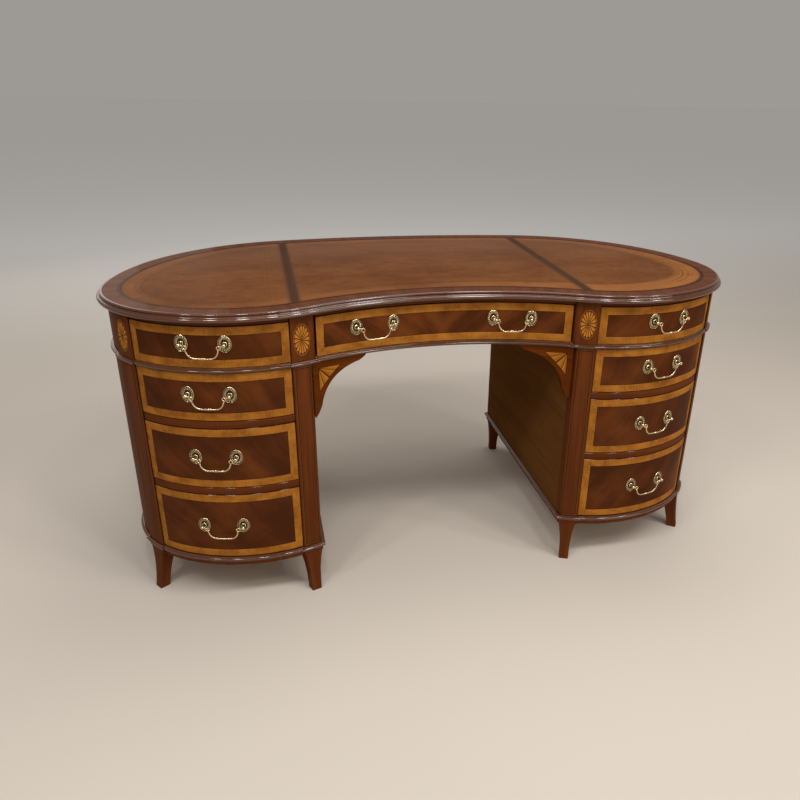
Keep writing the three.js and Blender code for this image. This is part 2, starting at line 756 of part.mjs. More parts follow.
// Stand the desk with the middle of its box over the origin
const middle = new THREE.Box3().setFromObject(desk, true).getCenter(new THREE.Vector3());
desk.position.set(-middle.x, -middle.y, 0);

export default desk;
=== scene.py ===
"""Dresses a kidney shaped desk with fine curved shapes, inlaid veneers, tooled leather and aged brass.

Everything is in metres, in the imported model's frame: X along the desk, Y to the back, Z up from the floor.
A run is a place along the desk's edge: the distance along the drawers' faces from the middle of the waist.
An inset is a distance inwards from the top's edge.
"""

import json
import math
from bisect import bisect_left
from functools import reduce

import bmesh
import bpy
from mathutils import Matrix, Vector

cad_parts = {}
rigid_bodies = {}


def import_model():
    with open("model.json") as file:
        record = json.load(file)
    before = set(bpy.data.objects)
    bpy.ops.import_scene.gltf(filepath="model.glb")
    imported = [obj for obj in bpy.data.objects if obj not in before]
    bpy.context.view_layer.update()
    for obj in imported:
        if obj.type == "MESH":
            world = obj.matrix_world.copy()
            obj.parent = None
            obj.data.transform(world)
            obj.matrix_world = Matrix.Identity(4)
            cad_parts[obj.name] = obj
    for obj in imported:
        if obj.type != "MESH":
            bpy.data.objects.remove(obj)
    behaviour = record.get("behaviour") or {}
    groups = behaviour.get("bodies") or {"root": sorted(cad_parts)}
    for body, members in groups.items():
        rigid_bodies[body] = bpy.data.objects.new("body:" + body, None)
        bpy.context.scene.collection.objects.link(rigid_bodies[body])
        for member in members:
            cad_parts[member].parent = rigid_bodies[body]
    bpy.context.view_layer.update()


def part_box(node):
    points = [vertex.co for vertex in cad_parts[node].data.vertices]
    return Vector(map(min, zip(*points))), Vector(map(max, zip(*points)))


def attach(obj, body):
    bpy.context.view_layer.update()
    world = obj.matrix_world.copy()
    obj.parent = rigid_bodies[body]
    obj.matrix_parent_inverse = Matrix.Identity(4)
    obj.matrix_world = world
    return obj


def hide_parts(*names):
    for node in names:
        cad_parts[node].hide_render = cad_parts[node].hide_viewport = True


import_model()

bl_info = {
    "name": "Kidney Shaped Desk",
    "version": (1, 0, 0),
    "blender": (4, 5, 0),
    "location": "View3D > Sidebar > Desk",
    "description": "Builds the dressed pieces of a kidney shaped desk and its studio",
    "category": "Object",
}

# Plan of the top: arcs from the middle of the waist round one end, as bend, radius before scaling, degrees
KIDNEY_ARCS = ((-1, 0.968, 24.7), (1, 0.463, 56.2), (1, 0.336, 65.8), (1, 0.65, 73.6))
STATION_TURN = math.radians(0.25)
DEPTH = 0.808
HALF_WIDTH, BACK_Y, TOP_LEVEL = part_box("desk_top")[1]

# Levels
TOP_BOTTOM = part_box("desk_top")[0][2]
LEATHER_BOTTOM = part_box("leather_centre")[0][2]
LEATHER_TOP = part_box("leather_centre")[1][2]
FRIEZE_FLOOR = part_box("mid_moulding")[1][2]
CASE_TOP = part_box("pedestal_case_right")[1][2]
CASE_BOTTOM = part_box("plinth_right")[1][2]
BASE_MOULDING_BOTTOM = CASE_BOTTOM - 0.014
SPIGOT_BOTTOM = CASE_BOTTOM - 0.012
APRON_BOTTOM = 0.114
TOP_RAIL_HEIGHT = 0.01

# Insets of the faces and backs of the case's boards
OVERHANG = 0.021
STILE_INSET = 0.017
WALL = 0.02
STILE = (STILE_INSET, STILE_INSET + 0.022)
PANEL = (OVERHANG, OVERHANG + WALL)
RAIL = (OVERHANG, OVERHANG + 0.06)
FRONT = (OVERHANG, OVERHANG + 0.022)

# Places along the desk
KNEEHOLE_X = 0.33
BLOCK_X = 0.32
PARTITION_X = 0.342
DRAWER_INNER_X = 0.378
DRAWER_OUTER_X = 0.895 * HALF_WIDTH
BACK_STILE_X = 0.84 * HALF_WIDTH
OUTER_STILE_WIDTH = 0.06

# Small sizes and gaps
KNEEHOLE_ROUND = 0.008
BOARD = 0.012
PARTITION = 0.018
REVEAL = 0.0015
BITE = 0.001
FLOOR_SPANS = 400
TRAY_GAP = 0.0008
GUIDE_SUNK = 0.002
GUIDE_HEIGHT = 0.014
EASE = 0.001
FRONT_EASE = 0.0012
BLOCK_EASE = 0.0008
PLINTH_REBATE = 0.006

# Leather and the strips between its panels
LEATHER_BORDER = 0.056
LEATHER_GAP = 0.0003
LEATHER_EASE = 0.0004
LEATHER_LEVELS = (0.0006, 0.004, 0.012, 0.022, 0.032, 0.042, 0.055, 0.075, 0.11, 0.16)
HIDE_SPANS = 160
CENTRE_SPANS = 100
SEAM_X = 0.36
SEAM_WIDTH = 0.018

# Handles
HANDLE_SPACING = 0.096
SIDE_HANDLE_SHARE = 0.51
CENTRE_HANDLE_X = 0.544 * BLOCK_X
POST_STANDOFF = 0.015
BAIL_DROP = 0.031
ROSETTE_HALF = (0.0155, 0.02)
BRASS_SHARP = math.radians(50)

STEP = 0.009
SHARP = math.radians(32)
TURN = 2 * math.pi
HANDS = ((1, "right"), (-1, "left"))


def lengths(points):
    """The distance along a line of points to each of them."""
    total = [0.0]
    for a, b in zip(points, points[1:]):
        total.append(total[-1] + math.dist(a, b))
    return total


def add_arc(walked, bend, radius, turn):
    """Walks on along an arc by places and headings."""
    x, y, heading = walked[-1]
    centre_x = x - bend * radius * math.sin(heading)
    centre_y = y + bend * radius * math.cos(heading)
    steps = math.ceil(turn / STATION_TURN)
    for i in range(1, steps + 1):
        h = heading + bend * turn * i / steps
        walked.append((centre_x + bend * radius * math.sin(h), centre_y - bend * radius * math.cos(h), h))


def stations():
    """Places on one half of the top's edge, from the waist to the middle of the back, each with its normal."""
    walked = [(0.0, 0.0, 0.0)]
    for bend, radius, turn in KIDNEY_ARCS:
        add_arc(walked, bend, radius, math.radians(turn))
    x, _, heading = walked[-1]
    add_arc(walked, 1, x / math.sin(heading), math.pi - heading)
    high = max(y for _, y, _ in walked)
    scale_x = HALF_WIDTH / max(x for x, _, _ in walked)
    scale_y = DEPTH / (high - min(y for _, y, _ in walked))
    for x, y, heading in walked:
        tangent = Vector((scale_x * math.cos(heading), scale_y * math.sin(heading))).normalized()
        yield scale_x * x, BACK_Y + scale_y * (y - high), tangent.y, -tangent.x


STATIONS = list(stations())
RUNS = lengths([(x - nx * OVERHANG, y - ny * OVERHANG) for x, y, nx, ny in STATIONS])
LENGTH = RUNS[-1]


def edge_place(run):
    """A point on the top's edge and the outward normal there, on either half."""
    side = -1 if run < 0 or run > LENGTH else 1
    run = min(abs(run), 2 * LENGTH - abs(run))
    i = min(max(bisect_left(RUNS, run), 1), len(RUNS) - 1)
    share = (run - RUNS[i - 1]) / (RUNS[i] - RUNS[i - 1])
    x, y, nx, ny = (a + (b - a) * share for a, b in zip(STATIONS[i - 1], STATIONS[i]))
    length = math.hypot(nx, ny)
    return side * x, y, side * nx / length, ny / length


def edge_point(run, inset):
    """A point moved in from the top's edge."""
    x, y, nx, ny = edge_place(run)
    return x - nx * inset, y - ny * inset


def along_edge(start, end, inset, count):
    """Points in even steps from one run to another, both included."""
    return [edge_point(start + (end - start) * k / count, inset) for k in range(count + 1)]


def run_at(x, inset, back=False):
    """The run at which the edge, moved in by inset, lies at x, on the front or on the back."""
    before = None
    for run, (sx, _, nx, _) in list(zip(RUNS, STATIONS))[::-1 if back else 1]:
        here = sx - nx * inset
        if here >= x:
            if before is None:
                return run
            return before[0] + (run - before[0]) * (x - before[1]) / (here - before[1])
        before = (run, here)
    raise ValueError(f"the edge never reaches {x} m at {inset} m inside it")


def runs_at(x, inset):
    """The runs on the front and on the back at which the edge, moved in by inset, lies at x."""
    return run_at(x, inset), run_at(x, inset, back=True)


def y_at(x, inset, back=False):
    return edge_point(run_at(abs(x), inset, back), inset)[1]


def square(x, back=False):
    """Where a board that ends square at x stops, whatever its inset."""
    return lambda inset: math.copysign(run_at(abs(x), inset, back), x)


# Runs at which the case's face steps in or out, and what lies between them
INNER_STILE_END = run_at(DRAWER_INNER_X, OVERHANG)
OUTER_STILE = run_at(DRAWER_OUTER_X, OVERHANG)
OUTER_STILE_END = OUTER_STILE + OUTER_STILE_WIDTH
BACK_STILE = run_at(BACK_STILE_X, OVERHANG, back=True) - OUTER_STILE_WIDTH / 2
BACK_STILE_END = BACK_STILE + OUTER_STILE_WIDTH
BACK_INNER_STILE = run_at(DRAWER_INNER_X, OVERHANG, back=True)
MARKS = (INNER_STILE_END, OUTER_STILE, OUTER_STILE_END, BACK_STILE, BACK_STILE_END, BACK_INNER_STILE)
OPENING = (square(DRAWER_INNER_X), square(DRAWER_OUTER_X))
PANEL_SPANS = ((OUTER_STILE_END, BACK_STILE), (BACK_STILE_END, BACK_INNER_STILE))


class Skin:
    """Points and faces of one piece. Each face corner has its distances from two edges and from the two
    opposite ones, which is what the inlays are drawn by."""

    def __init__(self):
        self.points = []
        self.faces = []

    def grid(self, rows, near, size=(0.0, 0.0), around=False, along=False, caps=(), far=None):
        """Faces between rows of points, and over the rows named as caps. Near and far give a corner's
        distances by its row and its place in the row, and far is by default what near leaves of the size."""
        base, width = len(self.points), len(rows[0])
        for row in rows:
            self.points.extend(row)

        def face(*corners):
            first = [near(j, i) for j, i in corners]
            second = [far(j, i) for j, i in corners] if far else [(size[0] - u, size[1] - v) for u, v in first]
            self.faces.append(([base + j % len(rows) * width + i % width for j, i in corners], first, second))

        for j in range(len(rows) if along else len(rows) - 1):
            for i in range(width if around else width - 1):
                face((j, i), (j, i + 1), (j + 1, i + 1), (j + 1, i))
        for j in caps:
            face(*((j, i) for i in range(width)))
        return self

    def solid(self, rows, near, size=(0.0, 0.0)):
        """A closed body from rings of points."""
        return self.grid(rows, near, size, around=True, caps=(0, len(rows) - 1))

    def wall(self, depths, bottom, top, start, end, ease=EASE, rounds=(0.0, 0.0)):
        """A curved board between two insets, from one run to another, with its front edges eased. A start
        or an end may be a function of the inset. Rounds are the radii of its two upright front edges."""
        face, back = depths
        profile = [
            (face + ease, bottom), (face, bottom + ease), (face, (bottom + top) / 2), (face, top - ease),
            (face + ease, top), (back, top), (back, bottom),
        ]
        first_run, last_run = (at if callable(at) else lambda inset, at=at: at for at in (start, end))
        span = last_run(face) - first_run(face)
        count = max(2, math.ceil(span / STEP))
        first, last = (self.corner(radius, ease) for radius in rounds)
        stops = [(span * k / count, 0.0) for k in range(count + 1)]
        stops = [stop for stop in stops if first[-1][0] < stop[0] < span - last[-1][0]]
        stops = first + stops + [(span - distance, shrink) for distance, shrink in reversed(last)]
        rows = []
        for distance, shrink in stops:
            lift = min(shrink, ease)
            row = []
            for inset, z in profile:
                run = first_run(inset) + (last_run(inset) - first_run(inset)) * distance / span
                x, y = edge_point(run, max(inset, face + shrink))
                row.append((x, y, min(max(z, bottom + lift), top - lift)))
            rows.append(row)
        return self.solid(rows, lambda j, i: (stops[j][0], profile[i % len(profile)][1] - bottom), (span, top - bottom))

    @staticmethod
    def corner(radius, ease):
        """How far each point round a corner is along the face and behind it."""
        steps = 6 if radius > ease else 1
        angles = [TURN / 4 * k / steps for k in range(steps + 1)]
        radius = max(radius, ease)
        return [(radius * (1 - math.cos(angle)), radius * (1 - math.sin(angle))) for angle in angles]

    def block(self, low, high):
        """A straight board with eased edges."""
        (x0, y0, z0), (x1, y1, z1) = low, high
        e = BLOCK_EASE
        ring = [(x0 + e, z0), (x1 - e, z0), (x1, z0 + e), (x1, z1 - e), (x1 - e, z1), (x0 + e, z1),
                (x0, z1 - e), (x0, z0 + e)]
        rows = [[(x, y, z) for x, z in ring] for y in (y0, y1)]
        return self.solid(rows, lambda j, i: (j * (y1 - y0), ring[i % len(ring)][1] - z0), (y1 - y0, z1 - z0))

    def plate(self, outline, bottom, top):
        """A flat board with a given plan."""
        rows = [[(x, y, z) for x, y in outline] for z in (bottom, top)]
        return self.solid(rows, lambda j, i: outline[i % len(outline)])


def walls(depths, bottom, top, *spans):
    """Curved boards alike but for their spans, each a start, an end and perhaps two rounds."""
    skin = Skin()
    for start, end, *rounds in spans:
        skin.wall(depths, bottom, top, start, end, rounds=rounds or (0.0, 0.0))
    return skin


def place_object(name, data):
    """Adds an object to the scene."""
    thing = bpy.data.objects.new(name, data)
    bpy.context.scene.collection.objects.link(thing)
    return thing


def make(name, skin, wood, nodes=(), body="desk", side=1, sharp=SHARP):
    """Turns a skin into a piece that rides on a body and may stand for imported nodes."""
    mesh = bpy.data.meshes.new(name)
    shape = bmesh.new()
    layers = [shape.loops.layers.uv.new(layer) for layer in ("near", "far")]
    verts = [shape.verts.new((side * x, y, z)) for x, y, z in skin.points]
    for indices, *corner_sets in skin.faces:
        face = shape.faces.new([verts[i] for i in indices])
        face.smooth = True
        for layer, corners in zip(layers, corner_sets):
            for loop, corner in zip(face.loops, corners):
                loop[layer].uv = corner
    bmesh.ops.recalc_face_normals(shape, faces=shape.faces)
    for edge in shape.edges:
        if len(edge.link_faces) == 2:
            edge.smooth = edge.calc_face_angle() < sharp
    shape.to_mesh(mesh)
    shape.free()
    mesh.materials.append(wood)
    piece = place_object(name, mesh)
    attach(piece, body)
    if nodes:
        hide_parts(*nodes)
    return piece


def make_pair(name, skin, wood, nodes=()):
    """The right piece and its mirror image, with the hand in the place of {} in their names and nodes."""
    for side, hand in HANDS:
        make(name.format(hand), skin, wood, [node.format(hand) for node in nodes], side=side)


def arc(centre, radii, start, end, count):
    """Points on an ellipse as (inset, height), with 0 degrees facing outwards."""
    angles = [math.radians(start + (end - start) * i / count) for i in range(count + 1)]
    return [(centre[0] - radii[0] * math.cos(angle), centre[1] + radii[1] * math.sin(angle)) for angle in angles]


def face_outline(marks, pedestal, projection):
    """The case's outline pushed out by a projection, breaking out round the stiles. A pedestal's starts and
    ends with a stile at the kneehole, the frieze's with its hollow face."""
    points = []
    for i, (start, end) in enumerate(zip(marks, marks[1:])):
        proud = (i % 2 == 0) == pedestal
        inset = (STILE_INSET if proud else OVERHANG) - projection
        spread = projection if proud else -projection
        at_start, at_end = i == 0, i == len(marks) - 2
        low = start if at_start else start - spread
        high = end if at_end else end + spread
        if pedestal and at_start:
            low = run_at(KNEEHOLE_X - projection, inset)
        if pedestal and at_end:
            high = run_at(KNEEHOLE_X - projection, inset, back=True)
        points += along_edge(low, high, inset, max(1, math.ceil((end - start) / STEP)))
    return points


def frieze_outline(projection):
    """The frieze's outline right round the desk."""
    first, last = runs_at(BLOCK_X, OVERHANG)
    half = face_outline((0.0, first, *MARKS, last, LENGTH), False, projection)
    return half + [(-x, y) for x, y in reversed(half[1:-1])]


def pedestal_outline(projection):
    """The right pedestal's outline from the kneehole's front round the end to its back."""
    first, last = runs_at(KNEEHOLE_X, STILE_INSET)
    return face_outline((first, *MARKS, last), True, projection)


def ring_moulding(outline, profile):
    """A moulding of (projection, height) points right round an outline."""
    rows = [[(x, y, z) for x, y in outline(projection)] for projection, z in profile]
    along, across = lengths(rows[0] + rows[0][:1]), lengths(profile + profile[:1])
    return Skin().grid(rows, lambda j, i: (along[i], across[j]), around=True, along=True)


def bead_profile(bottom, top, back):
    """A bead between two fillets, as (projection, height) points, closed by its back."""
    height = top - bottom
    bead = arc((-0.0034, bottom + 0.52 * height), (0.0046, 0.29 * height), -80, 80, 10)
    below = ((back, 0.0), (0.003, 0.0), (0.004, 0.05), (0.0042, 0.17))
    above = ((0.004, 0.84), (0.0036, 0.95), (0.0026, 1.0), (back, 1.0))
    below, above = ([(out, bottom + share * height) for out, share in part] for part in (below, above))
    return below + [(-inset, z) for inset, z in bead] + above


def arithmetic(operation, swap=False):
    """A method that joins two values by a Math node."""
    return lambda self, other: self.nodes.math(operation, *((other, self) if swap else (self, other)))


class Signal:
    """A shader value that ordinary arithmetic works on."""

    def __init__(self, nodes, socket):
        self.nodes = nodes
        self.socket = socket

    __add__ = __radd__ = arithmetic("ADD")
    __mul__ = __rmul__ = arithmetic("MULTIPLY")
    __sub__, __rsub__ = arithmetic("SUBTRACT"), arithmetic("SUBTRACT", swap=True)
    __truediv__, __rtruediv__ = arithmetic("DIVIDE"), arithmetic("DIVIDE", swap=True)


class Nodes:
    """Builds the nodes of one material round its principled shader."""

    def __init__(self, name):
        self.material = bpy.data.materials.new(name)
        self.material.use_nodes = True
        self.tree = self.material.node_tree

    def put(self, target, value):
        """Links a signal to an input, or sets the input to a plain value."""
        if isinstance(value, Signal):
            self.tree.links.new(value.socket, target)
        else:
            target.default_value = (*value[:3], 1.0) if target.type == "RGBA" else value

    def add(self, kind, inputs=(), output=0, **settings):
        """Adds a node, and gives one of its outputs."""
        node = self.tree.nodes.new(kind)
        for key, value in settings.items():
            setattr(node, key, value)
        for key, value in dict(inputs).items():
            self.put(node.inputs[key], value)
        return Signal(self, node.outputs[output])

    def math(self, operation, a, b=0.0):
        return self.add("ShaderNodeMath", {0: a, 1: b}, operation=operation)

    def least(self, *values):
        return reduce(lambda a, b: self.math("MINIMUM", a, b), values)

    def most(self, *values):
        return reduce(lambda a, b: self.math("MAXIMUM", a, b), values)

    def split(self, vector):
        x = self.add("ShaderNodeSeparateXYZ", {0: vector})
        return [Signal(self, output) for output in x.socket.node.outputs]

    def uv(self, layer):
        """A point's distances from the two near or the two far edges."""
        return self.split(self.add("ShaderNodeUVMap", uv_map=layer))[:2]

    def object_point(self):
        return self.add("ShaderNodeTexCoord", output="Object")

    def place(self):
        """The surface point in the piece's own frame."""
        return self.split(self.object_point())

    def noise(self, x, y, z=0.0, detail=3.0, roughness=0.5):
        joined = self.add("ShaderNodeCombineXYZ", {0: x, 1: y, 2: z})
        return self.add("ShaderNodeTexNoise", {
            "Vector": joined, "Scale": 1.0, "Detail": detail, "Roughness": roughness})

    def speckle(self, scale, detail):
        """Noise all through the piece."""
        x, y, z = self.place()
        return self.noise(x * scale, y * scale, z * scale, detail)

    def rise(self, value, low, high):
        """0 below low, 1 above high, smooth between."""
        return self.add("ShaderNodeMapRange", {0: value, 1: low, 2: high}, interpolation_type="SMOOTHSTEP")

    def fall(self, value, low, high):
        """1 below low, 0 above high, smooth between."""
        return 1.0 - self.rise(value, low, high)

    def line(self, value, middle, half, soft=0.0002):
        """1 near a value, 0 away from it."""
        return self.fall(self.math("ABSOLUTE", value - middle), half - soft, half + soft)

    def mix(self, share, a, b):
        return self.add("ShaderNodeMix", {0: share, 6: a, 7: b}, output=2, data_type="RGBA")

    def over(self, colour, *layers):
        """Lays colours over one another, each by its share."""
        return reduce(lambda under, layer: self.mix(layer[0], under, layer[1]), layers, colour)

    def finish(self, look, colour, roughness, height=None, distance=0.0):
        """Sets the shader by its own inputs, a colour, a roughness and a relief."""
        look = {**look, "Base Color": colour, "Roughness": roughness}
        if height is not None:
            look["Normal"] = self.add("ShaderNodeBump", {"Strength": 1.0, "Distance": distance, "Height": height})
        for key, value in look.items():
            self.put(self.tree.nodes["Principled BSDF"].inputs[key], value)
        return self.material


# How the surfaces take the light
WOOD = {"Specular IOR Level": 0.0, "Coat Weight": 0.16, "Coat Roughness": 0.08}
DULL_WOOD = {**WOOD, "Coat Weight": 0.0}
BORDER = {**WOOD, "Coat Weight": 0.22}
GLOSS = {"Specular IOR Level": 0.0, "Coat Weight": 1.0, "Coat Roughness": 0.03, "Coat IOR": 1.75}
HIDE = {"Specular IOR Level": 0.0, "Coat Weight": 0.14, "Coat Roughness": 0.25}
STRIP = {"Specular IOR Level": 0.0, "Coat Weight": 0.12, "Coat Roughness": 0.35}


def grain(n, across, along, light, dark, seed=0.0, streak=1.0):
    """Wood colour with streaks and pores that run along one direction, and the pores alone."""
    wander = n.noise(across * 6.0, along * 2.5, seed, detail=2.0) - 0.5
    bent = across + wander * 0.02
    broad = n.noise(bent * 34.0 * streak, along * 1.6, seed + 3.1, detail=4.0, roughness=0.6)
    fine = n.noise(bent * 210.0 * streak, along * 5.0, seed + 7.7, detail=3.0)
    pores = n.rise(n.noise(across * 1500.0, along * 45.0, seed + 11.3, detail=1.0), 0.6, 0.72)
    tone = n.rise(broad * 0.6 + fine * 0.4, 0.3, 0.7)
    return n.mix(pores * 0.35, n.mix(tone, dark, light), dark), pores


def polish(n, look, colour, pores, base=0.22):
    """French polish: glossy, with a little cloudiness and pores that barely show."""
    cloud, scuff = n.speckle(9.0, 4.0), n.speckle(60.0, 2.0)
    return n.finish(look, colour, cloud * 0.16 + scuff * 0.06 + (base - 0.09), pores * -1.0, distance=0.00008)


def petals(n, turn, radius, least, wide, narrow):
    """For a place among petals: how far across its petal it is, how far from the petal's middle line, and
    whether it is in the gap between two."""
    petal = n.math("FRACT", turn)
    side = n.math("ABSOLUTE", petal - 0.5)
    reach = n.most(radius, least)
    return petal, side, n.rise(side, 0.5 - wide / reach, 0.5 - narrow / reach)


def mahogany_material(n, colours, upright=True, dark=1.0, string=0.0, seed=0.0, base=0.22, look=WOOD):
    """Plain mahogany, with a pale and a dark line at a distance from its edges if a string is given."""
    u, v = n.uv("near")
    across, along = (u, v) if upright else (v, u)
    light, deep = ([c * dark for c in colour] for colour in (colours.mahogany_light, colours.mahogany_dark))
    colour, pores = grain(n, across, along, light, deep, seed)
    if string:
        d = n.least(u, v, *n.uv("far"))
        pale = n.mix(0.5, colour, colours.satinwood_dark)
        colour = n.over(colour, (n.line(d, string - 0.0015, 0.0008), pale),
                        (n.line(d, string, 0.0008), colours.string_dark))
    return polish(n, look, colour, pores, base)


def flame_material(n, colours, width, seed, lean, crotch=0.0):
    """Flame figured veneer inside a mitred band of satinwood, with a thin dark line between them. Crotch
    turns leaning plumes into ones that spread from the middle."""
    (u, v), (far_u, far_v) = n.uv("near"), n.uv("far")
    side, level = n.least(u, far_u), n.least(v, far_v)
    d = n.least(side, level)
    middle_u = (u - far_u) * 0.5
    spread = n.math("ABSOLUTE", middle_u) * crotch + middle_u * (1.0 - crotch)
    bend = n.noise(u * 3.5, v * 4.0, seed, detail=2.0) - 0.5
    swirl = n.noise(u * 13.0, v * 9.0, seed + 5.0, detail=3.0) - 0.5
    plume = spread - v * lean + bend * 0.14 + swirl * 0.02
    flame = n.noise(plume * 16.0, v * 3.0, seed + 2.0, detail=4.0, roughness=0.55)
    streak = n.noise(plume * 110.0, v * 8.0, seed + 9.0, detail=3.0)
    patch = n.noise(u * 7.0, v * 9.0, seed + 4.0, detail=3.0)
    tone = n.rise(flame * (0.32 + crotch * 0.3) + streak * 0.12 + patch * (0.48 - crotch * 0.2),
                  0.36 + crotch * 0.03, 0.66 - crotch * 0.04)
    pores = n.rise(n.noise(plume * 1300.0, v * 60.0, seed + 1.0, detail=1.0), 0.62, 0.72)
    field = n.mix(pores * 0.3, n.mix(tone, colours.flame_dark, colours.flame_light), colours.flame_dark)

    level_band = n.math("LESS_THAN", level, side)
    across = v + (u - v) * level_band
    along = u + (v - u) * level_band
    blotch = n.noise(across * 22.0, along * 30.0, seed + 6.0, detail=4.0, roughness=0.6)
    hair = n.noise(across * 260.0, along * 20.0, seed + 8.0, detail=2.0)
    band_tone = n.rise(blotch * 0.76 + hair * 0.24, 0.32, 0.66)
    band = n.mix(band_tone, colours.satinwood_dark, colours.satinwood_light)

    inside = n.rise(d, width - 0.0003, width + 0.0003)
    colour = n.over(
        band, (n.line(side - level, 0.0, 0.0003) * 0.4, colours.satinwood_dark), (inside, field),
        (n.line(d, width + 0.0006, 0.0005), colours.string_dark), (n.fall(d, 0.0006, 0.0013), colours.string_dark),
        (n.fall(d, 0.0001, 0.0003), colours.mahogany_dark))
    return polish(n, WOOD, colour, pores * inside, 0.24)


def patera_material(n, colours, shift=0.0):
    """A frieze block inlaid with an oval of shaded petals inside a faint ring, a little off its middle."""
    (u, v), (far_u, far_v) = n.uv("near"), n.uv("far")
    x, y = (u - far_u) * 0.5 - shift, (v - far_v) * 0.5 - 0.0022
    colour, pores = grain(n, u, v, colours.mahogany_light, colours.mahogany_dark, 31.0)
    across, up = x / 0.0205, y / 0.0376
    radius = n.math("SQRT", across * across + up * up)
    angle = n.math("ARCTAN2", up, across)
    petal, side, gap = petals(n, angle * (16.0 / TURN) + 16.5, radius, 0.25, 0.105, 0.045)
    tip = 0.9 - side * side * 0.5
    inside = n.fall(radius, tip - 0.02, tip + 0.02)
    grainy = n.noise(angle * 9.0, radius * 2.0, 3.0, detail=2.0)
    shade = n.rise(petal * 0.7 + grainy * 0.5, 0.25, 0.95)
    pale, hub = [c * 1.45 for c in colours.satinwood_light], n.fall(radius, 0.06, 0.09)
    gold = n.over(pale, (shade * 0.8, colours.satinwood_dark), (n.most(gap, hub), colours.string_dark))
    colour = n.over(
        colour, (n.fall(radius, 0.9, 0.94) * 0.8, colours.string_dark), (inside, gold),
        (n.line(radius, 0.985, 0.02, 0.016) * 0.75, colours.satinwood_light))
    return polish(n, WOOD, colour, pores)


def bracket_material(n, colours):
    """A spandrel inlaid with a quarter fan in its corner."""
    u, v = n.uv("near")
    colour, pores = grain(n, v, u, colours.mahogany_light, colours.mahogany_dark, 17.0)
    x, y = (u - 0.0139) / 0.0545, (v - 0.0199) / 0.0605
    edge = n.math("POWER", n.most(x, 0.0), 0.9) + n.math("POWER", n.most(y, 0.0), 0.9)
    turn = n.math("ARCTAN2", y, x) / (TURN / 4)
    turn = turn + n.math("SINE", turn * TURN) * 0.09
    petal, _, gap = petals(n, turn * 4.0, edge, 0.1, 0.07, 0.02)
    quarter = n.rise(x, 0.0, 0.008) * n.rise(y, 0.0, 0.008)
    inside = n.fall(edge, 0.985, 1.0) * quarter
    outlined = n.fall(edge, 1.02, 1.04) * n.rise(x, -0.02, -0.012) * n.rise(y, -0.02, -0.012)
    gold = n.over(colours.satinwood_light, (n.rise(petal, 0.1, 0.95) * 0.7, colours.satinwood_dark),
                  (gap, colours.string_dark))
    return polish(n, DULL_WOOD, n.over(colour, (outlined * 0.7, colours.string_dark), (inside, gold)), pores)


def border_material(n, colours):
    """The top's cross grained border, with a dark line beside the leather."""
    u, v = n.uv("near")
    colour, pores = grain(n, u, v, colours.border_light, colours.border_dark, 5.0, streak=0.8)
    colour = n.mix(n.rise(v, 0.044, 0.05) * 0.65, colour, colours.string_dark)
    return polish(n, BORDER, colour, pores, 0.2)


def leather_material(n, colours, line):
    """Hand coloured hide: mottled, rubbed paler round its edge, with three tooled lines inside that. It is also painted
    paler and greyer toward the back, a painted reflection.
    """
    (_, inset), (seam, _) = n.uv("near"), n.uv("far")
    x, y, _ = n.place()
    border = inset - LEATHER_BORDER
    d = n.least(border, seam)
    cloud = n.noise(x * 4.0, y * 6.0, 1.0, detail=5.0, roughness=0.6)
    mottle = n.noise(x * 38.0, y * 38.0, 4.0, detail=4.0)
    streaks = n.noise(x * 9.0, y * 60.0, 7.0, detail=4.0)
    worn = n.rise(x, -0.1, 0.6) * (1.0 - n.rise(y, -0.15, 0.2) * 0.75)
    reach = worn * 0.03 + line
    rubbed = n.fall(border, reach - 0.01, reach + 0.016) * n.rise(border, -0.002, 0.01)
    traced = d + (n.noise(x * 300.0, y * 300.0, 2.0) - 0.5) * 0.0008
    tooled = n.most(
        n.line(traced, line, 0.0008, 0.0004) * 0.7,
        n.line(traced, line + 0.014, 0.001, 0.0004),
        n.line(traced, line + 0.025, 0.0007, 0.0004) * 0.6,
    ) * (1.0 - n.math("LESS_THAN", seam, border) * 0.65)
    colour = n.over(
        colours.leather_dark, (n.rise(cloud * 0.75 + mottle * 0.25, 0.34, 0.66), colours.leather_light),
        # Painted reflection: the hide turns paler and greyer toward the back, standing in for reflected light there.
        (n.rise(y + cloud * 0.2, -0.05, 0.45) * 0.55, colours.leather_faded),
        (n.rise(streaks, 0.5, 0.75) * 0.3, colours.leather_dark),
        (rubbed * n.rise(cloud, 0.2, 0.65) * (worn * 0.75 + 0.25), colours.leather_rubbed),
        (n.fall(seam, -0.001, 0.01) * 0.75, colours.strip_brown),
        (tooled * (worn * 0.4 + 0.45), colours.leather_tooled))
    cells = n.add("ShaderNodeTexVoronoi", {"Vector": n.object_point(), "Scale": 620.0}, "Distance",
                  feature="DISTANCE_TO_EDGE")
    height = n.rise(cells, 0.0, 0.25) * 0.12 + mottle * 0.3 - tooled * 1.0
    return n.finish(HIDE, colour, 0.3 + cloud * 0.18 + tooled * 0.1, height, distance=0.0004)


def panel_material(n, colours):
    """Quiet stained wood of the panels that face the knees."""
    u, v = n.uv("near")
    deep = [c * 0.72 for c in colours.panel_brown]
    colour, pores = grain(n, v, u, colours.panel_brown, deep, 12.0, streak=0.5)
    return polish(n, DULL_WOOD, colour, pores, 0.4)


def strip_material(n, colours):
    """Stained strips between the leather panels, dull and paler toward their sides."""
    (u, _), (far_u, _) = n.uv("near"), n.uv("far")
    x, y, _ = n.place()
    tone = n.noise(x * 40.0, y * 9.0, 6.0, detail=4.0)
    colour = n.mix(tone * 0.6, colours.strip_brown, colours.leather_tooled)
    side = n.fall(n.least(u, far_u), -0.001, 0.005)
    return n.finish(STRIP, n.mix(side * 0.6, colour, colours.leather_dark), tone * 0.1 + 0.5)


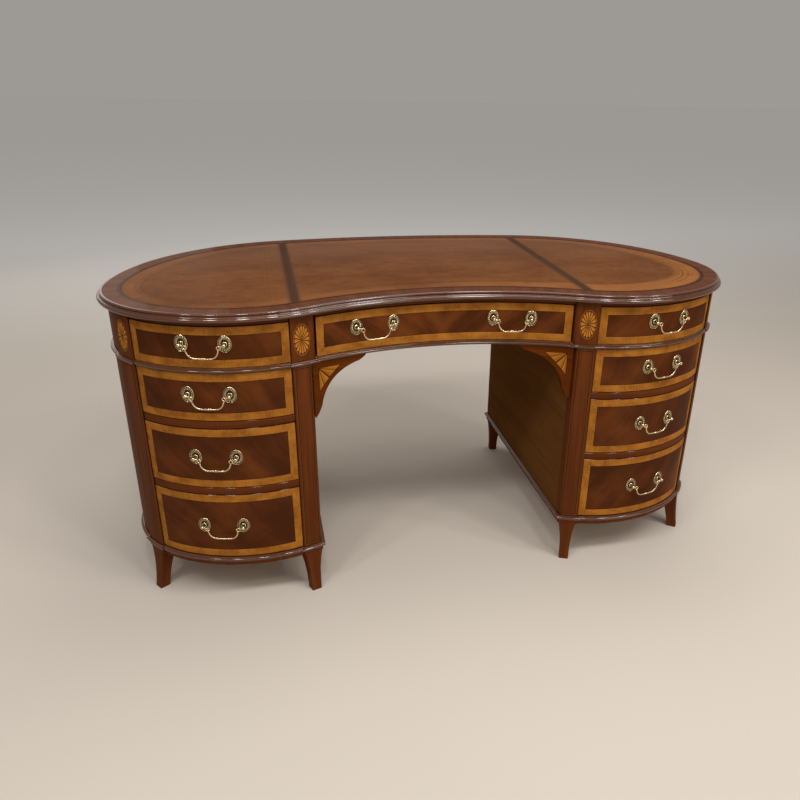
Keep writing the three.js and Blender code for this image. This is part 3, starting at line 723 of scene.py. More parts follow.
def brass_material(n, colours):
    """Aged cast brass: brown in its hollows, rubbed bright on what stands out."""
    relief, _ = n.uv("near")
    stain, pits = n.speckle(160.0, 4.0), n.speckle(900.0, 2.0)
    bright = n.rise(relief + (stain - 0.5) * 0.5, 0.25, 0.95)
    colour = n.mix(bright, colours.brass_dark, colours.brass_bright)
    return n.finish({"Metallic": 1.0}, colour, 0.38 - bright * 0.22 + stain * 0.1, pits, distance=0.00004)


def lining_material(n, colours, seed=0.0):
    """Bare wood of the drawers and boards, from the piece's own frame because the trays carry no map."""
    x, y, z = n.place()
    colour, pores = grain(n, x + z * 0.7, y, colours.lining_light, colours.lining_dark, seed, streak=0.7)
    return n.finish({"Specular IOR Level": 0.35}, colour, 0.55 + pores * 0.15, pores * -1.0, distance=0.0001)


def material(name, build, **details):
    """A material that is built once and then shared."""
    return bpy.data.materials.get(name) or build(Nodes(name), bpy.context.scene.desk_colours, **details)


def moulding_wood(name, seed):
    """The dark and thickly polished wood of the mouldings."""
    return material(name, mahogany_material, upright=False, dark=0.75, seed=seed, base=0.14, look=GLOSS)


def length_property(name, description, default, low, high):
    return bpy.props.FloatProperty(
        name=name, description=description, default=default, min=low, max=high, unit="LENGTH")


def colour_property(name, description, default):
    return bpy.props.FloatVectorProperty(
        name=name, description=description, default=default, size=3, subtype="COLOR", min=0.0, max=1.0)


class DeskSizes(bpy.types.PropertyGroup):
    """Sizes that a user would change."""

    band_width: length_property("Band width", "Width of the satinwood band round a drawer", 0.02, 0.004, 0.03)
    string_inset: length_property(
        "String inset", "Distance of the inlaid lines from a stile's edges", 0.0072, 0.002, 0.02)
    tooling_inset: length_property(
        "Tooling inset", "Distance of the first tooled line from the leather's edge", 0.032, 0.01, 0.08)
    wire_radius: length_property("Bail radius", "Radius of a bail's wire in its middle", 0.0022, 0.001, 0.003)
    ball_radius: length_property("Ball radius", "Radius of a post's ball head", 0.0048, 0.003, 0.007)


class DeskColours(bpy.types.PropertyGroup):
    """Colours that a user would change."""

    mahogany_light: colour_property("Mahogany, light", "Pale streaks of the plain wood", (0.134, 0.0345, 0.0056))
    mahogany_dark: colour_property("Mahogany, dark", "Dark streaks of the plain wood", (0.071, 0.0165, 0.0027))
    flame_light: colour_property("Flame, light", "Pale figure of the drawer veneer", (0.132, 0.035, 0.0064))
    flame_dark: colour_property("Flame, dark", "Dark figure of the drawer veneer", (0.054, 0.013, 0.0024))
    satinwood_light: colour_property("Satinwood, light", "Pale grain of the bands and fans", (0.385, 0.147, 0.0185))
    satinwood_dark: colour_property("Satinwood, dark", "Dark grain of the bands and fans", (0.212, 0.07, 0.0085))
    border_light: colour_property("Border, light", "Pale grain of the top's border", (0.128, 0.04, 0.015))
    border_dark: colour_property("Border, dark", "Dark grain of the top's border", (0.066, 0.019, 0.0076))
    string_dark: colour_property("Dark line", "Dark inlaid lines and gaps", (0.016, 0.005, 0.002))
    leather_light: colour_property("Leather, light", "Bright places of the hide", (0.158, 0.059, 0.0185))
    leather_dark: colour_property("Leather, dark", "Stained places of the hide", (0.104, 0.0365, 0.0115))
    leather_rubbed: colour_property("Leather, rubbed", "Hide rubbed pale round its edge", (0.285, 0.108, 0.029))
    panel_brown: colour_property("Kneehole panels", "Plain stained wood beside the knees", (0.155, 0.065, 0.018))
    # Painted reflection, not fading: the greyer, paler colour laid over the hide toward the back.
    leather_faded: colour_property("Leather, faded", "Hide faded toward the back", (0.155, 0.076, 0.047))
    strip_brown: colour_property("Strip", "Stained strips between the leather panels", (0.066, 0.034, 0.02))
    leather_tooled: colour_property("Leather, tooled", "Tooled lines in the hide", (0.04, 0.014, 0.006))
    brass_bright: colour_property("Brass, rubbed", "Rubbed brass", (0.7, 0.56, 0.33))
    brass_dark: colour_property("Brass, stained", "Brass in the hollows", (0.055, 0.034, 0.016))
    lining_light: colour_property("Lining, light", "Pale grain of the drawers' insides", (0.43, 0.25, 0.11))
    lining_dark: colour_property("Lining, dark", "Dark grain of the drawers' insides", (0.26, 0.135, 0.055))


def rings_of(profile, count):
    """Rings right round the top from (inset, height) points."""
    return [[(x, y, TOP_BOTTOM + z) for x, y in along_edge(-LENGTH, LENGTH, inset, count)[:-1]]
            for inset, z in profile]


def strips():
    """The strips between the leather panels."""
    skin = Skin()
    for middle in (SEAM_X, -SEAM_X):
        x0, x1 = middle - SEAM_WIDTH / 2, middle + SEAM_WIDTH / 2
        ring = [(x0, LEATHER_BOTTOM), (x1, LEATHER_BOTTOM), (x1, TOP_LEVEL - LEATHER_EASE),
                (x1 - BLOCK_EASE, TOP_LEVEL), (x0 + BLOCK_EASE, TOP_LEVEL), (x0, TOP_LEVEL - LEATHER_EASE)]
        rows = [[(x, y_at(x, LEATHER_BORDER, back), z) for x, z in ring] for back in (False, True)]
        length = rows[1][0][1] - rows[0][0][1]
        skin.solid(rows, lambda j, i: (ring[i % len(ring)][0] - x0, j * length), (SEAM_WIDTH, length))
    return skin


class DESK_OT_top(bpy.types.Operator):
    """Build the top with its moulded edge and the dark strips between the leather panels"""
    bl_idname = "desk.top"
    bl_label = "Top"

    def execute(self, context):
        thickness = TOP_LEVEL - TOP_BOTTOM
        join = 0.0135
        moulded = [
            (join, 0.0), (0.0062, 0.0), *arc((0.0066, 0.006), (0.0066, 0.0056), -80, 68, 14),
            (0.0058, 0.0114), (0.0064, 0.012), (0.0068, 0.0132), (0.0071, 0.0144),
            *arc((0.0104, 0.017), (0.003, 0.003), -70, 88, 9), (join, thickness),
        ]
        flat = [
            (0.04, 0.0), (join, 0.0), (join, thickness), (0.03, thickness), (0.0475, thickness),
            (LEATHER_BORDER - LEATHER_EASE, thickness), (LEATHER_BORDER, thickness - LEATHER_EASE),
            (LEATHER_BORDER, LEATHER_BOTTOM - TOP_BOTTOM),
        ]
        count = math.ceil(2 * LENGTH / STEP)
        across = lengths(moulded + moulded[:1])
        slab = Skin().solid(rings_of(flat, count), lambda j, i: (2 * LENGTH * i / count, flat[j][0]))
        edging = Skin().grid(rings_of(moulded, count), lambda j, i: (2 * LENGTH * i / count, across[j]),
                             around=True, along=True)
        make("top_slab", slab, material("border_wood", border_material), nodes=["desk_top"])
        make("top_edge", edging, moulding_wood("moulding_wood", 21.0))
        make("top_strips", strips(), material("strip_wood", strip_material))
        return {"FINISHED"}


def side_hides(hide, levels):
    """The leather beyond the seams, by (inset, height) levels."""
    seam = SEAM_X + SEAM_WIDTH / 2 + LEATHER_GAP
    rows = [[(x, y, z) for x, y in along_edge(*runs_at(seam, inset), inset, HIDE_SPANS)] for inset, z in levels]
    skin = Skin().grid(rows, lambda j, i: (0.0, levels[j][0]), caps=(len(rows) - 1,),
                       far=lambda j, i: (rows[j][i][0] - seam, 0.0))
    make_pair("leather_{}_hide", skin, hide, ["leather_{}"])


def centre_hide(hide, levels):
    """The leather between the seams."""
    seam = SEAM_X - SEAM_WIDTH / 2 - LEATHER_GAP
    xs = [seam * (2 * i / CENTRE_SPANS - 1) for i in range(CENTRE_SPANS + 1)]
    rings = [(inset, z, False) for inset, z in levels] + [(inset, z, True) for inset, z in levels[::-1]]
    rows = [[(x, y_at(x, inset, back), z) for x in xs] for inset, z, back in rings]
    skin = Skin().grid(rows, lambda j, i: (0.0, rings[j][0]), far=lambda j, i: (seam - abs(xs[i]), 0.0))
    make("leather_centre_hide", skin, hide, ["leather_centre"])


class DESK_OT_leather(bpy.types.Operator):
    """Build the leather panels let into the top"""
    bl_idname = "desk.leather"
    bl_label = "Leather panels"

    def execute(self, context):
        hide = material("tooled_leather", leather_material, line=context.scene.desk_sizes.tooling_inset)
        edge = LEATHER_BORDER + LEATHER_GAP
        levels = [(edge, LEATHER_BOTTOM), (edge, LEATHER_TOP - LEATHER_EASE)]
        levels += [(edge + inset, LEATHER_TOP) for inset in LEATHER_LEVELS]
        side_hides(hide, levels)
        centre_hide(hide, levels)
        return {"FINISHED"}


def pedestals(stile_wood, panel_wood, rail_wood, board_wood):
    """The two pedestals, with a board under each drawer."""
    drawers = [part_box(f"drawer_right_{n}_front") for n in (4, 3, 2)]
    gaps = [(low[2] - REVEAL, high[2] + REVEAL) for low, high in drawers]
    stiles = walls(
        STILE, CASE_BOTTOM, CASE_TOP,
        (square(KNEEHOLE_X), OPENING[0], KNEEHOLE_ROUND, 0.0), (OPENING[1], OUTER_STILE_END),
        (BACK_STILE, BACK_STILE_END), (BACK_INNER_STILE, square(KNEEHOLE_X, back=True), 0.0, KNEEHOLE_ROUND))
    rails, inner, boards = Skin(), Skin(), Skin()
    for (_, low), (high, _) in zip(gaps, gaps[1:]):
        rails.wall(RAIL, low, high, *OPENING)
    panels = walls(PANEL, CASE_BOTTOM, CASE_TOP, *PANEL_SPANS)
    front_y, back_y = (y_at(KNEEHOLE_X, STILE[1], back) for back in (False, True))
    inner.block((KNEEHOLE_X, front_y, CASE_BOTTOM), (KNEEHOLE_X + WALL, back_y, CASE_TOP))
    inset = PANEL[1] - BITE
    start, end = runs_at(KNEEHOLE_X + WALL - BITE, inset)
    plan = along_edge(start, end, inset, math.ceil((end - start) / STEP))
    tops = [low for low, _ in gaps]
    for top, bottom in zip(tops, (SPIGOT_BOTTOM, tops[1] - BOARD, tops[2] - BOARD)):
        boards.plate(plan, bottom, top)
        add_guides(boards, top)
    make_pair("stiles_{}", stiles, stile_wood, nodes=["pedestal_case_{}"])
    make_pair("rails_{}", rails, rail_wood)
    make_pair("panels_{}", panels, panel_wood)
    make_pair("kneehole_panel_{}", inner, material("kneehole_wood", panel_material))
    make_pair("boards_{}", boards, board_wood)


def add_guides(boards, floor):
    """The strips that a tray runs between."""
    low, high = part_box("drawer_right_4_tray")
    outer = high[0] + TRAY_GAP
    for x0, x1 in ((KNEEHOLE_X + WALL - BITE, low[0] - TRAY_GAP), (outer, outer + PARTITION)):
        front = max(y_at(x, FRONT[1]) for x in (x0, x1)) + BITE
        boards.block((x0, front, floor - GUIDE_SUNK), (x1, high[1], floor + GUIDE_HEIGHT))


def frieze(stile_wood, panel_wood, rail_wood, board_wood):
    """The frieze: its parts on each hand, and what runs across the middle."""
    tall, top_rail = (CASE_TOP, TOP_BOTTOM), (TOP_BOTTOM - TOP_RAIL_HEIGHT, TOP_BOTTOM)
    blocks = walls(STILE, *tall, (square(BLOCK_X), OPENING[0], KNEEHOLE_ROUND, 0.0))
    end_blocks = walls(STILE, *tall, (OPENING[1], OUTER_STILE_END))
    stiles = walls(STILE, *tall, (BACK_STILE, BACK_STILE_END), (BACK_INNER_STILE, square(BLOCK_X, back=True)))
    boards, floor = Skin(), Skin()
    front_y, back_y = y_at(PARTITION_X, STILE[1]), y_at(PARTITION_X, PANEL[1], back=True)
    boards.block((PARTITION_X, front_y, FRIEZE_FLOOR), (PARTITION_X + PARTITION, back_y, TOP_BOTTOM))
    add_guides(boards, FRIEZE_FLOOR)
    block_wood = material("patera_wood", patera_material, shift=KNEEHOLE_ROUND / 2)
    make("frieze_blocks_right", blocks, block_wood, nodes=["frieze_case"])
    make("frieze_blocks_left", blocks, block_wood, side=-1)
    make_pair("frieze_end_blocks_{}", end_blocks, material("end_patera_wood", patera_material))
    make_pair("frieze_stiles_{}", stiles, stile_wood)
    make_pair("frieze_rails_{}", walls(PANEL, *top_rail, OPENING), rail_wood)
    make_pair("frieze_panels_{}", walls(PANEL, *tall, *PANEL_SPANS), panel_wood)
    make_pair("frieze_boards_{}", boards, board_wood)
    face_run, back_run = runs_at(BLOCK_X, OVERHANG)
    floor.plate(along_edge(-LENGTH, LENGTH, OVERHANG + BITE, FLOOR_SPANS)[:-1], CASE_TOP, FRIEZE_FLOOR)
    make("frieze_rail_centre", walls(PANEL, *top_rail, (-face_run, face_run)), rail_wood)
    make("frieze_back_panel", walls(PANEL, *tall, (back_run, 2 * LENGTH - back_run)), panel_wood)
    make("frieze_floor", floor, board_wood)


class DESK_OT_carcass(bpy.types.Operator):
    """Build the pedestals and the frieze: stiles, rails, panels and the boards inside"""
    bl_idname = "desk.carcass"
    bl_label = "Carcass"

    def execute(self, context):
        woods = (
            material("stile_wood", mahogany_material, string=context.scene.desk_sizes.string_inset),
            material("panel_wood", mahogany_material, dark=0.95, seed=4.0, string=0.016),
            material("rail_wood", mahogany_material, upright=False, dark=0.9, seed=8.0),
            material("board_wood", lining_material),
        )
        pedestals(*woods)
        frieze(*woods)
        return {"FINISHED"}


class DESK_OT_mouldings(bpy.types.Operator):
    """Build the moulding under the frieze"""
    bl_idname = "desk.mouldings"
    bl_label = "Frieze moulding"

    def execute(self, context):
        skin = ring_moulding(frieze_outline, bead_profile(CASE_TOP, FRIEZE_FLOOR, 0.0002))
        make("frieze_moulding", skin, moulding_wood("moulding_wood", 21.0), nodes=["mid_moulding"])
        return {"FINISHED"}


# The apron as (projection, height) points, and a foot's half width and depth, each at the floor and grown
APRON = [
    (-0.024, APRON_BOTTOM), (-0.001, APRON_BOTTOM), (0.001, APRON_BOTTOM + 0.002),
    (0.001, BASE_MOULDING_BOTTOM), (-0.024, SPIGOT_BOTTOM),
]
FOOT_HALF, FOOT_DEPTH = (0.013, 0.013), (0.027, 0.025)
FOOT_GROWTH, FOOT_EASE, FOOT_RINGS = 2.4, 0.0012, 24
FOOT_INSET = STILE_INSET - 0.0005
INNER_FOOT_X = KNEEHOLE_X + 0.024
INNER_FLARE, OUTER_FLARE = 0.006, 0.012


def add_foot(skin, run, flare):
    """A foot as eased rings from the floor up, straight near the floor and curving in at the top."""
    _, _, nx, ny = edge_place(run)
    rows = []
    for k in range(FOOT_RINGS + 1):
        share = k / FOOT_RINGS
        half, depth = (low + more * share ** FOOT_GROWTH for low, more in (FOOT_HALF, FOOT_DEPTH))
        x, y = edge_point(run, FOOT_INSET - flare * (1 - share) ** 2)
        corners = [Vector((x - ny * along - nx * inwards, y + nx * along - ny * inwards))
                   for along, inwards in ((-half, 0), (half, 0), (half, depth), (-half, depth))]
        rows.append([
            (*(corner + (other - corner).normalized() * FOOT_EASE), share * SPIGOT_BOTTOM)
            for i, corner in enumerate(corners) for other in (corners[i - 1], corners[(i + 1) % 4])])
    around = lengths(rows[0] + rows[0][:1])
    skin.solid(rows, lambda j, i: (around[i], rows[j][0][2]))


class DESK_OT_plinths(bpy.types.Operator):
    """Build the plinths: base moulding, apron and splayed feet"""
    bl_idname = "desk.plinths"
    bl_label = "Plinths and feet"

    def execute(self, context):
        moulding = ring_moulding(pedestal_outline, bead_profile(BASE_MOULDING_BOTTOM, CASE_BOTTOM, -PLINTH_REBATE))
        feet = ring_moulding(pedestal_outline, APRON)
        for run in runs_at(INNER_FOOT_X, OVERHANG):
            add_foot(feet, run, INNER_FLARE)
        for start in (OUTER_STILE, BACK_STILE):
            add_foot(feet, start + OUTER_STILE_WIDTH / 2, OUTER_FLARE)
        make_pair("base_moulding_{}", moulding, moulding_wood("base_moulding_wood", 23.0))
        wood = material("foot_wood", mahogany_material, dark=1.1, seed=27.0)
        make_pair("plinth_feet_{}", feet, wood, nodes=["plinth_{}"])
        return {"FINISHED"}


# A bracket's lower edge as bends of three points, each shares of its length along the frieze and of its drop
BRACKET_BENDS = (
    (10, (0.0, 1.0), (0.05, 1.0), (0.14, 0.8)),
    (34, (0.14, 0.8), (0.235, 0.26), (0.865, 0.12)),
    (10, (0.865, 0.12), (1.0, 0.05), (1.0, 0.012)),
)
BRACKET_INSET, BRACKET_DEPTH, BRACKET_EASE, BRACKET_LEVELS = OVERHANG + 0.005, 0.018, 0.0006, 12


def bracket_outline():
    """The points of a bracket's lower edge."""
    points = [(0.0, 1.0)]
    for count, a, b, c in BRACKET_BENDS:
        for t in (k / count for k in range(1, count + 1)):
            points.append(tuple((1 - t) ** 2 * p + 2 * t * (1 - t) * q + t * t * r for p, q, r in zip(a, b, c)))
    return points


class DESK_OT_brackets(bpy.types.Operator):
    """Build the kneehole brackets with their inlaid fans"""
    bl_idname = "desk.brackets"
    bl_label = "Kneehole brackets"

    def execute(self, context):
        low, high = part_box("kneehole_bracket_right")
        rows, uvs = [], []
        for share, fall in bracket_outline():
            x = high[0] - share * (high[0] - low[0])
            y = y_at(x, BRACKET_INSET)
            drops = [k / BRACKET_LEVELS * fall * (high[2] - low[2]) for k in range(BRACKET_LEVELS + 1)]
            front = [(x, y + BRACKET_EASE * (drop in (drops[0], drops[-1])), high[2] - drop) for drop in drops]
            rows.append(front + [(x, y + BRACKET_DEPTH, high[2] - drop) for drop in reversed(drops)])
            uvs.append([(high[0] - x, drop) for drop in drops + drops[::-1]])
        skin = Skin().solid(rows, lambda j, i: uvs[j][i % len(uvs[j])])
        make_pair("bracket_{}", skin, material("bracket_wood", bracket_material), nodes=["kneehole_bracket_{}"])
        return {"FINISHED"}


def front_skin(node):
    """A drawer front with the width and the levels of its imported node."""
    low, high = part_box(node)
    return Skin().wall(FRONT, low[2], high[2], square(low[0]), square(high[0]), FRONT_EASE)


class DESK_OT_drawers(bpy.types.Operator):
    """Build the drawer fronts and finish the trays behind them"""
    bl_idname = "desk.drawers"
    bl_label = "Drawers"

    def execute(self, context):
        width = context.scene.desk_sizes.band_width
        for n in range(1, 5):
            skin = front_skin(f"drawer_right_{n}_front")
            for side, hand in HANDS:
                veneer = material(f"flame_{hand}_{n}", flame_material, width=width, seed=13.0 * n + 3 * side,
                                  lean=0.3 + 0.15 * n)
                make(f"front_{hand}_{n}", skin, veneer, [f"drawer_{hand}_{n}_front"],
                     f"drawer_{hand}_{n}", side)
        veneer = material("flame_centre", flame_material, width=width, seed=71.0, lean=0.9, crotch=1.0)
        skin = front_skin("drawer_centre_front")
        make("front_centre", skin, veneer, ["drawer_centre_front"], "drawer_centre")
        drawers = ["centre"] + [f"{hand}_{n}" for hand in ("left", "right") for n in range(1, 5)]
        for index, drawer in enumerate(drawers):
            slots = bpy.data.objects[f"drawer_{drawer}_tray"].data.materials
            slots.clear()
            slots.append(material(f"lining_{index}", lining_material, seed=5.0 * index))
        return {"FINISHED"}


# A rosette's oval rings, as share of its size, distance out, relief that shades the brass, and ripple
ROSETTE = (
    (0.95, 0.0003, 0.2, 0.0), (1.0, 0.0006, 0.5, 0.0), (1.0, 0.0015, 0.9, 0.0), (0.975, 0.0022, 1.0, 0.0),
    (0.945, 0.0025, 1.0, 0.0), (0.91, 0.0021, 0.5, 0.0), (0.885, 0.001, 0.05, 0.0), (0.85, 0.0008, 0.8, 0.0012),
    (0.76, 0.001, 1.0, 0.0015), (0.66, 0.0011, 1.0, 0.0014), (0.57, 0.001, 0.8, 0.001),
    (0.5, 0.0009, 0.4, 0.0004), (0.46, 0.0008, 0.05, 0.0), (0.43, 0.0009, 0.05, 0.0),
)
RIPPLES = 18

# The round rings of the boss and the post, of the shank and of the nut, as radius, distance out and relief
BOSS = (
    (0.0062, 0.0014, 0.0), (0.006, 0.0026, 0.7), (0.0052, 0.0034, 1.0), (0.0042, 0.0038, 0.8),
    (0.0033, 0.004, 0.2), (0.0028, 0.0048, 0.2), (0.0026, 0.01, 0.5),
)
SHANK = ((0.0026, 0.001, 0.3), (0.0026, -0.025, 0.3))
NUT = ((0.0049, -0.0228, 0.5), (0.0055, -0.0233, 0.5), (0.0055, -0.0263, 0.5), (0.0049, -0.0268, 0.5))

# Half a bail from an eye to its middle, and an arm from its ball, as shares of the reach and of the drop
BAIL = ((0.725, 0.33), (0.71, 0.46), (0.66, 0.67), (0.57, 0.85), (0.44, 0.965), (0.26, 1.0), (0.0, 1.0))
ARM = ((0.95, 0.0), (0.92, 0.005), (0.88, 0.03), (0.835, 0.09))
EYE = (0.755, 0.165)
EYE_RADIUS = 0.0042
EYE_WIRE = 0.0015
EYE_SPANS = 28
ARM_GROWTH = 0.0004


def add_rings(skin, spot, normal, height, rings, count):
    """Rings round the post's axis, each as half width, half height, distance out, relief and ripple. The
    hollows between the ripples are stained."""
    tangent = Vector((-normal.y, normal.x))
    rows, reliefs = [], []
    for wide, tall, out, relief, ripple in rings:
        row, shades = [], []
        for i in range(count):
            angle = TURN * i / count
            crest = abs(math.cos(RIPPLES * angle / 2)) if ripple else 1.0
            flat = spot + tangent * (wide * math.cos(angle)) + normal * (out + ripple * crest)
            row.append((flat.x, flat.y, height + tall * math.sin(angle)))
            shades.append((relief * crest, 0.0))
        rows.append(row)
        reliefs.append(shades)
    skin.solid(rows, lambda j, i: reliefs[j][i % count])


def post_skin(spot, normal, height, ball):
    """A rosette with its boss, post and ball in front, and a shank and a nut behind."""
    skin = Skin()
    angles = [math.pi * (0.17 + 0.83 * i / 13.5) for i in range(1, 14)]
    head = [(ball * math.sin(a), POST_STANDOFF - ball * math.cos(a), 0.95) for a in angles]
    plate = [(*(half * share for half in ROSETTE_HALF), *rest) for share, *rest in ROSETTE]
    for rings, more, count in ((plate, [*BOSS, *head], 144), ([], SHANK, 16), ([], NUT, 6)):
        rings = rings + [(radius, radius, out, relief, 0.0) for radius, out, relief in more]
        add_rings(skin, spot, normal, height, rings, count)
    return skin


def bail_skin(pivots, height, wire):
    """The bail's bar between two eyes, and a short arm from each eye to its ball."""
    middle = (pivots[0] + pivots[1]) / 2
    reach = (pivots[1] - pivots[0]).length / 2
    along = (pivots[1] - pivots[0]).normalized()
    plane = (middle, along, Vector((-along.y, along.x)), height)
    skin = Skin()

    def at(side, share, drop):
        return Vector((side * reach * share, -BAIL_DROP * drop))

    def girth(point):
        """Thickest in the middle, with a bead there."""
        bead = math.exp(-(point.x / 0.003) ** 2) * 0.0007
        return wire * (0.86 + 0.14 * math.exp(-(point.x / 0.022) ** 2)) + bead

    path = smooth([at(1, *shares) for shares in BAIL] + [at(-1, *shares) for shares in BAIL[-2::-1]])
    add_wire(skin, path, [girth(point) for point in path], plane)
    for side in (-1, 1):
        turns = [TURN * k / EYE_SPANS for k in range(EYE_SPANS)]
        ring = [at(side, *EYE) + Vector((math.cos(a), math.sin(a))) * EYE_RADIUS for a in turns]
        add_wire(skin, ring + ring[:2], [EYE_WIRE] * (EYE_SPANS + 2), plane)
        arm = smooth([at(side, *shares) for shares in ARM])
        add_wire(skin, arm, [EYE_WIRE + ARM_GROWTH * k / len(arm) for k in range(len(arm))], plane)
    return skin


def smooth(control):
    """A curve through points, eight steps to a span."""
    path, count = [], len(control) - 1
    for i in range(count):
        a, b, c, d = (control[max(0, min(count, i + k))] for k in (-1, 0, 1, 2))
        for t in (k / 8 for k in range(8)):
            path.append(0.5 * (2 * b + (c - a) * t + (2 * a - 5 * b + 4 * c - d) * t * t
                               + (3 * b - a - 3 * c + d) * t ** 3))
    path.append(control[-1])
    return path


def add_wire(skin, path, radii, plane, count=16):
    """A round wire along a path in the handle's upright plane."""
    middle, along, across, height = plane
    rows = []
    for k, (point, radius) in enumerate(zip(path, radii)):
        tangent = (path[min(len(path) - 1, k + 1)] - path[max(0, k - 1)]).normalized()
        row = []
        for angle in (TURN * i / count for i in range(count)):
            spot = point + Vector((tangent.y, -tangent.x)) * (radius * math.cos(angle))
            flat = middle + along * spot.x + across * (radius * math.sin(angle))
            row.append((flat.x, flat.y, height + spot.y))
        rows.append(row)
    skin.solid(rows, lambda j, i: (0.9, 0.0))


class DESK_OT_handles(bpy.types.Operator):
    """Build the rosettes with their posts, and the bails"""
    bl_idname = "desk.handles"
    bl_label = "Handles"

    def execute(self, context):
        sizes = context.scene.desk_sizes
        brass = material("aged_brass", brass_material)
        centre_run = run_at(CENTRE_HANDLE_X, OVERHANG)
        side_run = INNER_STILE_END + (OUTER_STILE - INNER_STILE_END) * SIDE_HANDLE_SHARE
        handles = [("centre_a", "centre", -centre_run), ("centre_b", "centre", centre_run)]
        for side, hand in HANDS:
            handles += [(f"{hand}_{n}", f"{hand}_{n}", side * side_run) for n in range(1, 5)]
        for name, drawer, run in handles:
            low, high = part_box(f"drawer_{name}_post_left")
            height = (low[2] + high[2]) / 2
            posts = []
            for end, hand in ((run - HANDLE_SPACING / 2, "left"), (run + HANDLE_SPACING / 2, "right")):
                spot, normal = Vector(edge_point(end, OVERHANG)), Vector(edge_place(end)[2:])
                posts.append(spot + normal * POST_STANDOFF)
                make(f"rosette_drawer_{name}_{hand}", post_skin(spot, normal, height, sizes.ball_radius), brass,
                     [f"drawer_{name}_post_{hand}"], f"drawer_{drawer}", sharp=BRASS_SHARP)
            make(f"bail_drawer_{name}", bail_skin(posts, height, sizes.wire_radius), brass,
                 [f"drawer_{name}_bail"], f"{name}_bail", sharp=BRASS_SHARP)
        return {"FINISHED"}


# Lamps as name, place, size, power in watts and colour. The wall lamps give the pale reflection at the left.
LAMPS = (
    *((f"ceiling_{i}", (-2.3 + 0.92 * i, -1.8, 3.1), (0.3, 0.5), 13.0, (1.0, 0.97, 0.93)) for i in range(6)),
    ("strip", (0.0, -2.3, 2.6), (4.6, 0.15), 16.0, (1.0, 0.97, 0.94)),
    ("overhead", (0.5, 0.6, 3.2), (1.8, 1.8), 28.0, (1.0, 0.95, 0.88)),
    ("fill", (2.4, -3.2, 1.7), (2.2, 2.2), 30.0, (1.0, 0.92, 0.84)),
    ("wall", (-1.75, 3.2, 1.7), (1.2, 1.0), 2.0, (1.0, 0.92, 0.82)),
    ("wall_wide", (-1.6, 3.2, 1.75), (2.0, 1.3), 3.6, (1.0, 0.92, 0.82)),
)
LAMP_TARGET = Vector((0.0, 0.0, 0.45))
WORLD_COLOUR, WORLD_STRENGTH = (1.0, 0.95, 0.9, 1.0), 0.34

# The camera as it was fitted to the photograph, with its focal length and middle in pixels of the frame
CAMERA_PLACE = (-0.4372, -2.0528, 1.2682)
CAMERA_ANGLES = (14.3119, 25.4756, -1.5447)
FOCAL, MIDDLE_X, MIDDLE_Y, FRAME = 762.409, 446.3, 430.52, 800


def add_floor():
    n = Nodes("studio_floor")
    x, y, _ = n.place()
    tone = n.mix(n.noise(x * 0.8, y * 0.8), (0.59, 0.54, 0.48), (0.63, 0.58, 0.52))
    n.finish({"Specular IOR Level": 0.0}, n.mix(n.rise(y, 0.9, 4.5), tone, (0.97, 0.97, 0.96)), 0.7)
    mesh = bpy.data.meshes.new("studio_floor")
    shape = bmesh.new()
    bmesh.ops.create_grid(shape, x_segments=2, y_segments=2, size=30.0)
    shape.to_mesh(mesh)
    shape.free()
    mesh.materials.append(n.material)
    floor = place_object("studio_floor", mesh)


def add_lights():
    world = bpy.data.worlds.new("studio")
    world.use_nodes = True
    background = world.node_tree.nodes["Background"]
    background.inputs["Color"].default_value = WORLD_COLOUR
    background.inputs["Strength"].default_value = WORLD_STRENGTH
    bpy.context.scene.world = world
    for name, place, size, power, colour in LAMPS:
        lamp = bpy.data.lights.new(name, "AREA")
        lamp.shape = "RECTANGLE"
        lamp.size, lamp.size_y = size
        lamp.energy = power
        lamp.color = colour
        light = place_object(name, lamp)
        turn = (LAMP_TARGET - Vector(place)).to_track_quat("-Z", "Y").to_matrix().to_4x4()
        light.matrix_world = Matrix.Translation(place) @ turn
        light.visible_camera = False


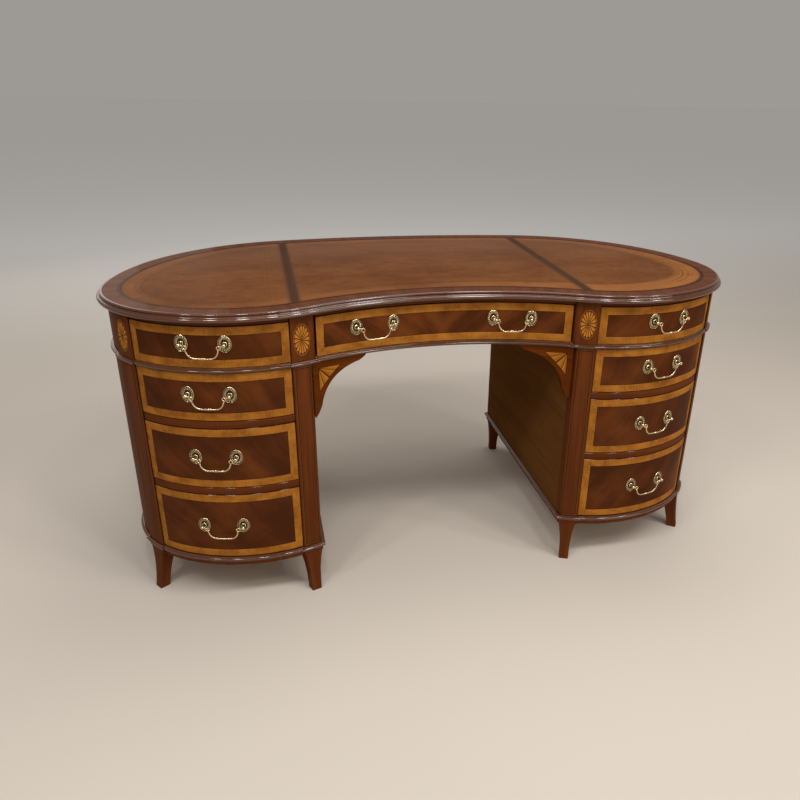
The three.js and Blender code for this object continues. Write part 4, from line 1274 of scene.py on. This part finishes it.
def add_camera():
    yaw, pitch, roll = (math.radians(angle) for angle in CAMERA_ANGLES)
    data = bpy.data.cameras.new("photo_camera")
    data.sensor_width = 36.0
    data.lens = FOCAL / FRAME * data.sensor_width
    data.shift_x = (FRAME / 2 - MIDDLE_X) / FRAME
    data.shift_y = (MIDDLE_Y - FRAME / 2) / FRAME
    camera = place_object("photo_camera", data)
    turn = (Matrix.Rotation(angle, 4, axis) for angle, axis in ((-yaw, "Z"), (TURN / 4 - pitch, "X"), (-roll, "Z")))
    camera.matrix_world = reduce(lambda a, b: a @ b, turn, Matrix.Translation(CAMERA_PLACE))
    bpy.context.scene.camera = camera


class DESK_OT_stage(bpy.types.Operator):
    """Build the floor, the lights and the camera"""
    bl_idname = "desk.stage"
    bl_label = "Stage"

    def execute(self, context):
        add_floor()
        add_lights()
        add_camera()
        bpy.context.scene.view_settings.view_transform = "Standard"
        return {"FINISHED"}


class DESK_PT_panel(bpy.types.Panel):
    """Lists the desk's pieces, sizes and colours"""
    bl_label = "Kidney Shaped Desk"
    bl_idname = "DESK_PT_panel"
    bl_space_type = "VIEW_3D"
    bl_region_type = "UI"
    bl_category = "Desk"

    def draw(self, context):
        for group in (context.scene.desk_sizes, context.scene.desk_colours):
            box = self.layout.box()
            for key in group.__annotations__:
                box.prop(group, key)
        for operator in OPERATORS:
            self.layout.operator(operator.bl_idname)


OPERATORS = (
    DESK_OT_stage, DESK_OT_top, DESK_OT_leather, DESK_OT_carcass, DESK_OT_mouldings, DESK_OT_plinths,
    DESK_OT_brackets, DESK_OT_drawers, DESK_OT_handles,
)
CLASSES = (DeskSizes, DeskColours, *OPERATORS, DESK_PT_panel)


def register():
    for cls in CLASSES:
        bpy.utils.register_class(cls)
    bpy.types.Scene.desk_sizes = bpy.props.PointerProperty(type=DeskSizes)
    bpy.types.Scene.desk_colours = bpy.props.PointerProperty(type=DeskColours)


def unregister():
    del bpy.types.Scene.desk_colours
    del bpy.types.Scene.desk_sizes
    for cls in reversed(CLASSES):
        bpy.utils.unregister_class(cls)


def main():
    register()
    for operator in OPERATORS:
        group, name = operator.bl_idname.split(".")
        getattr(getattr(bpy.ops, group), name)()


if __name__ == "__main__":
    main()
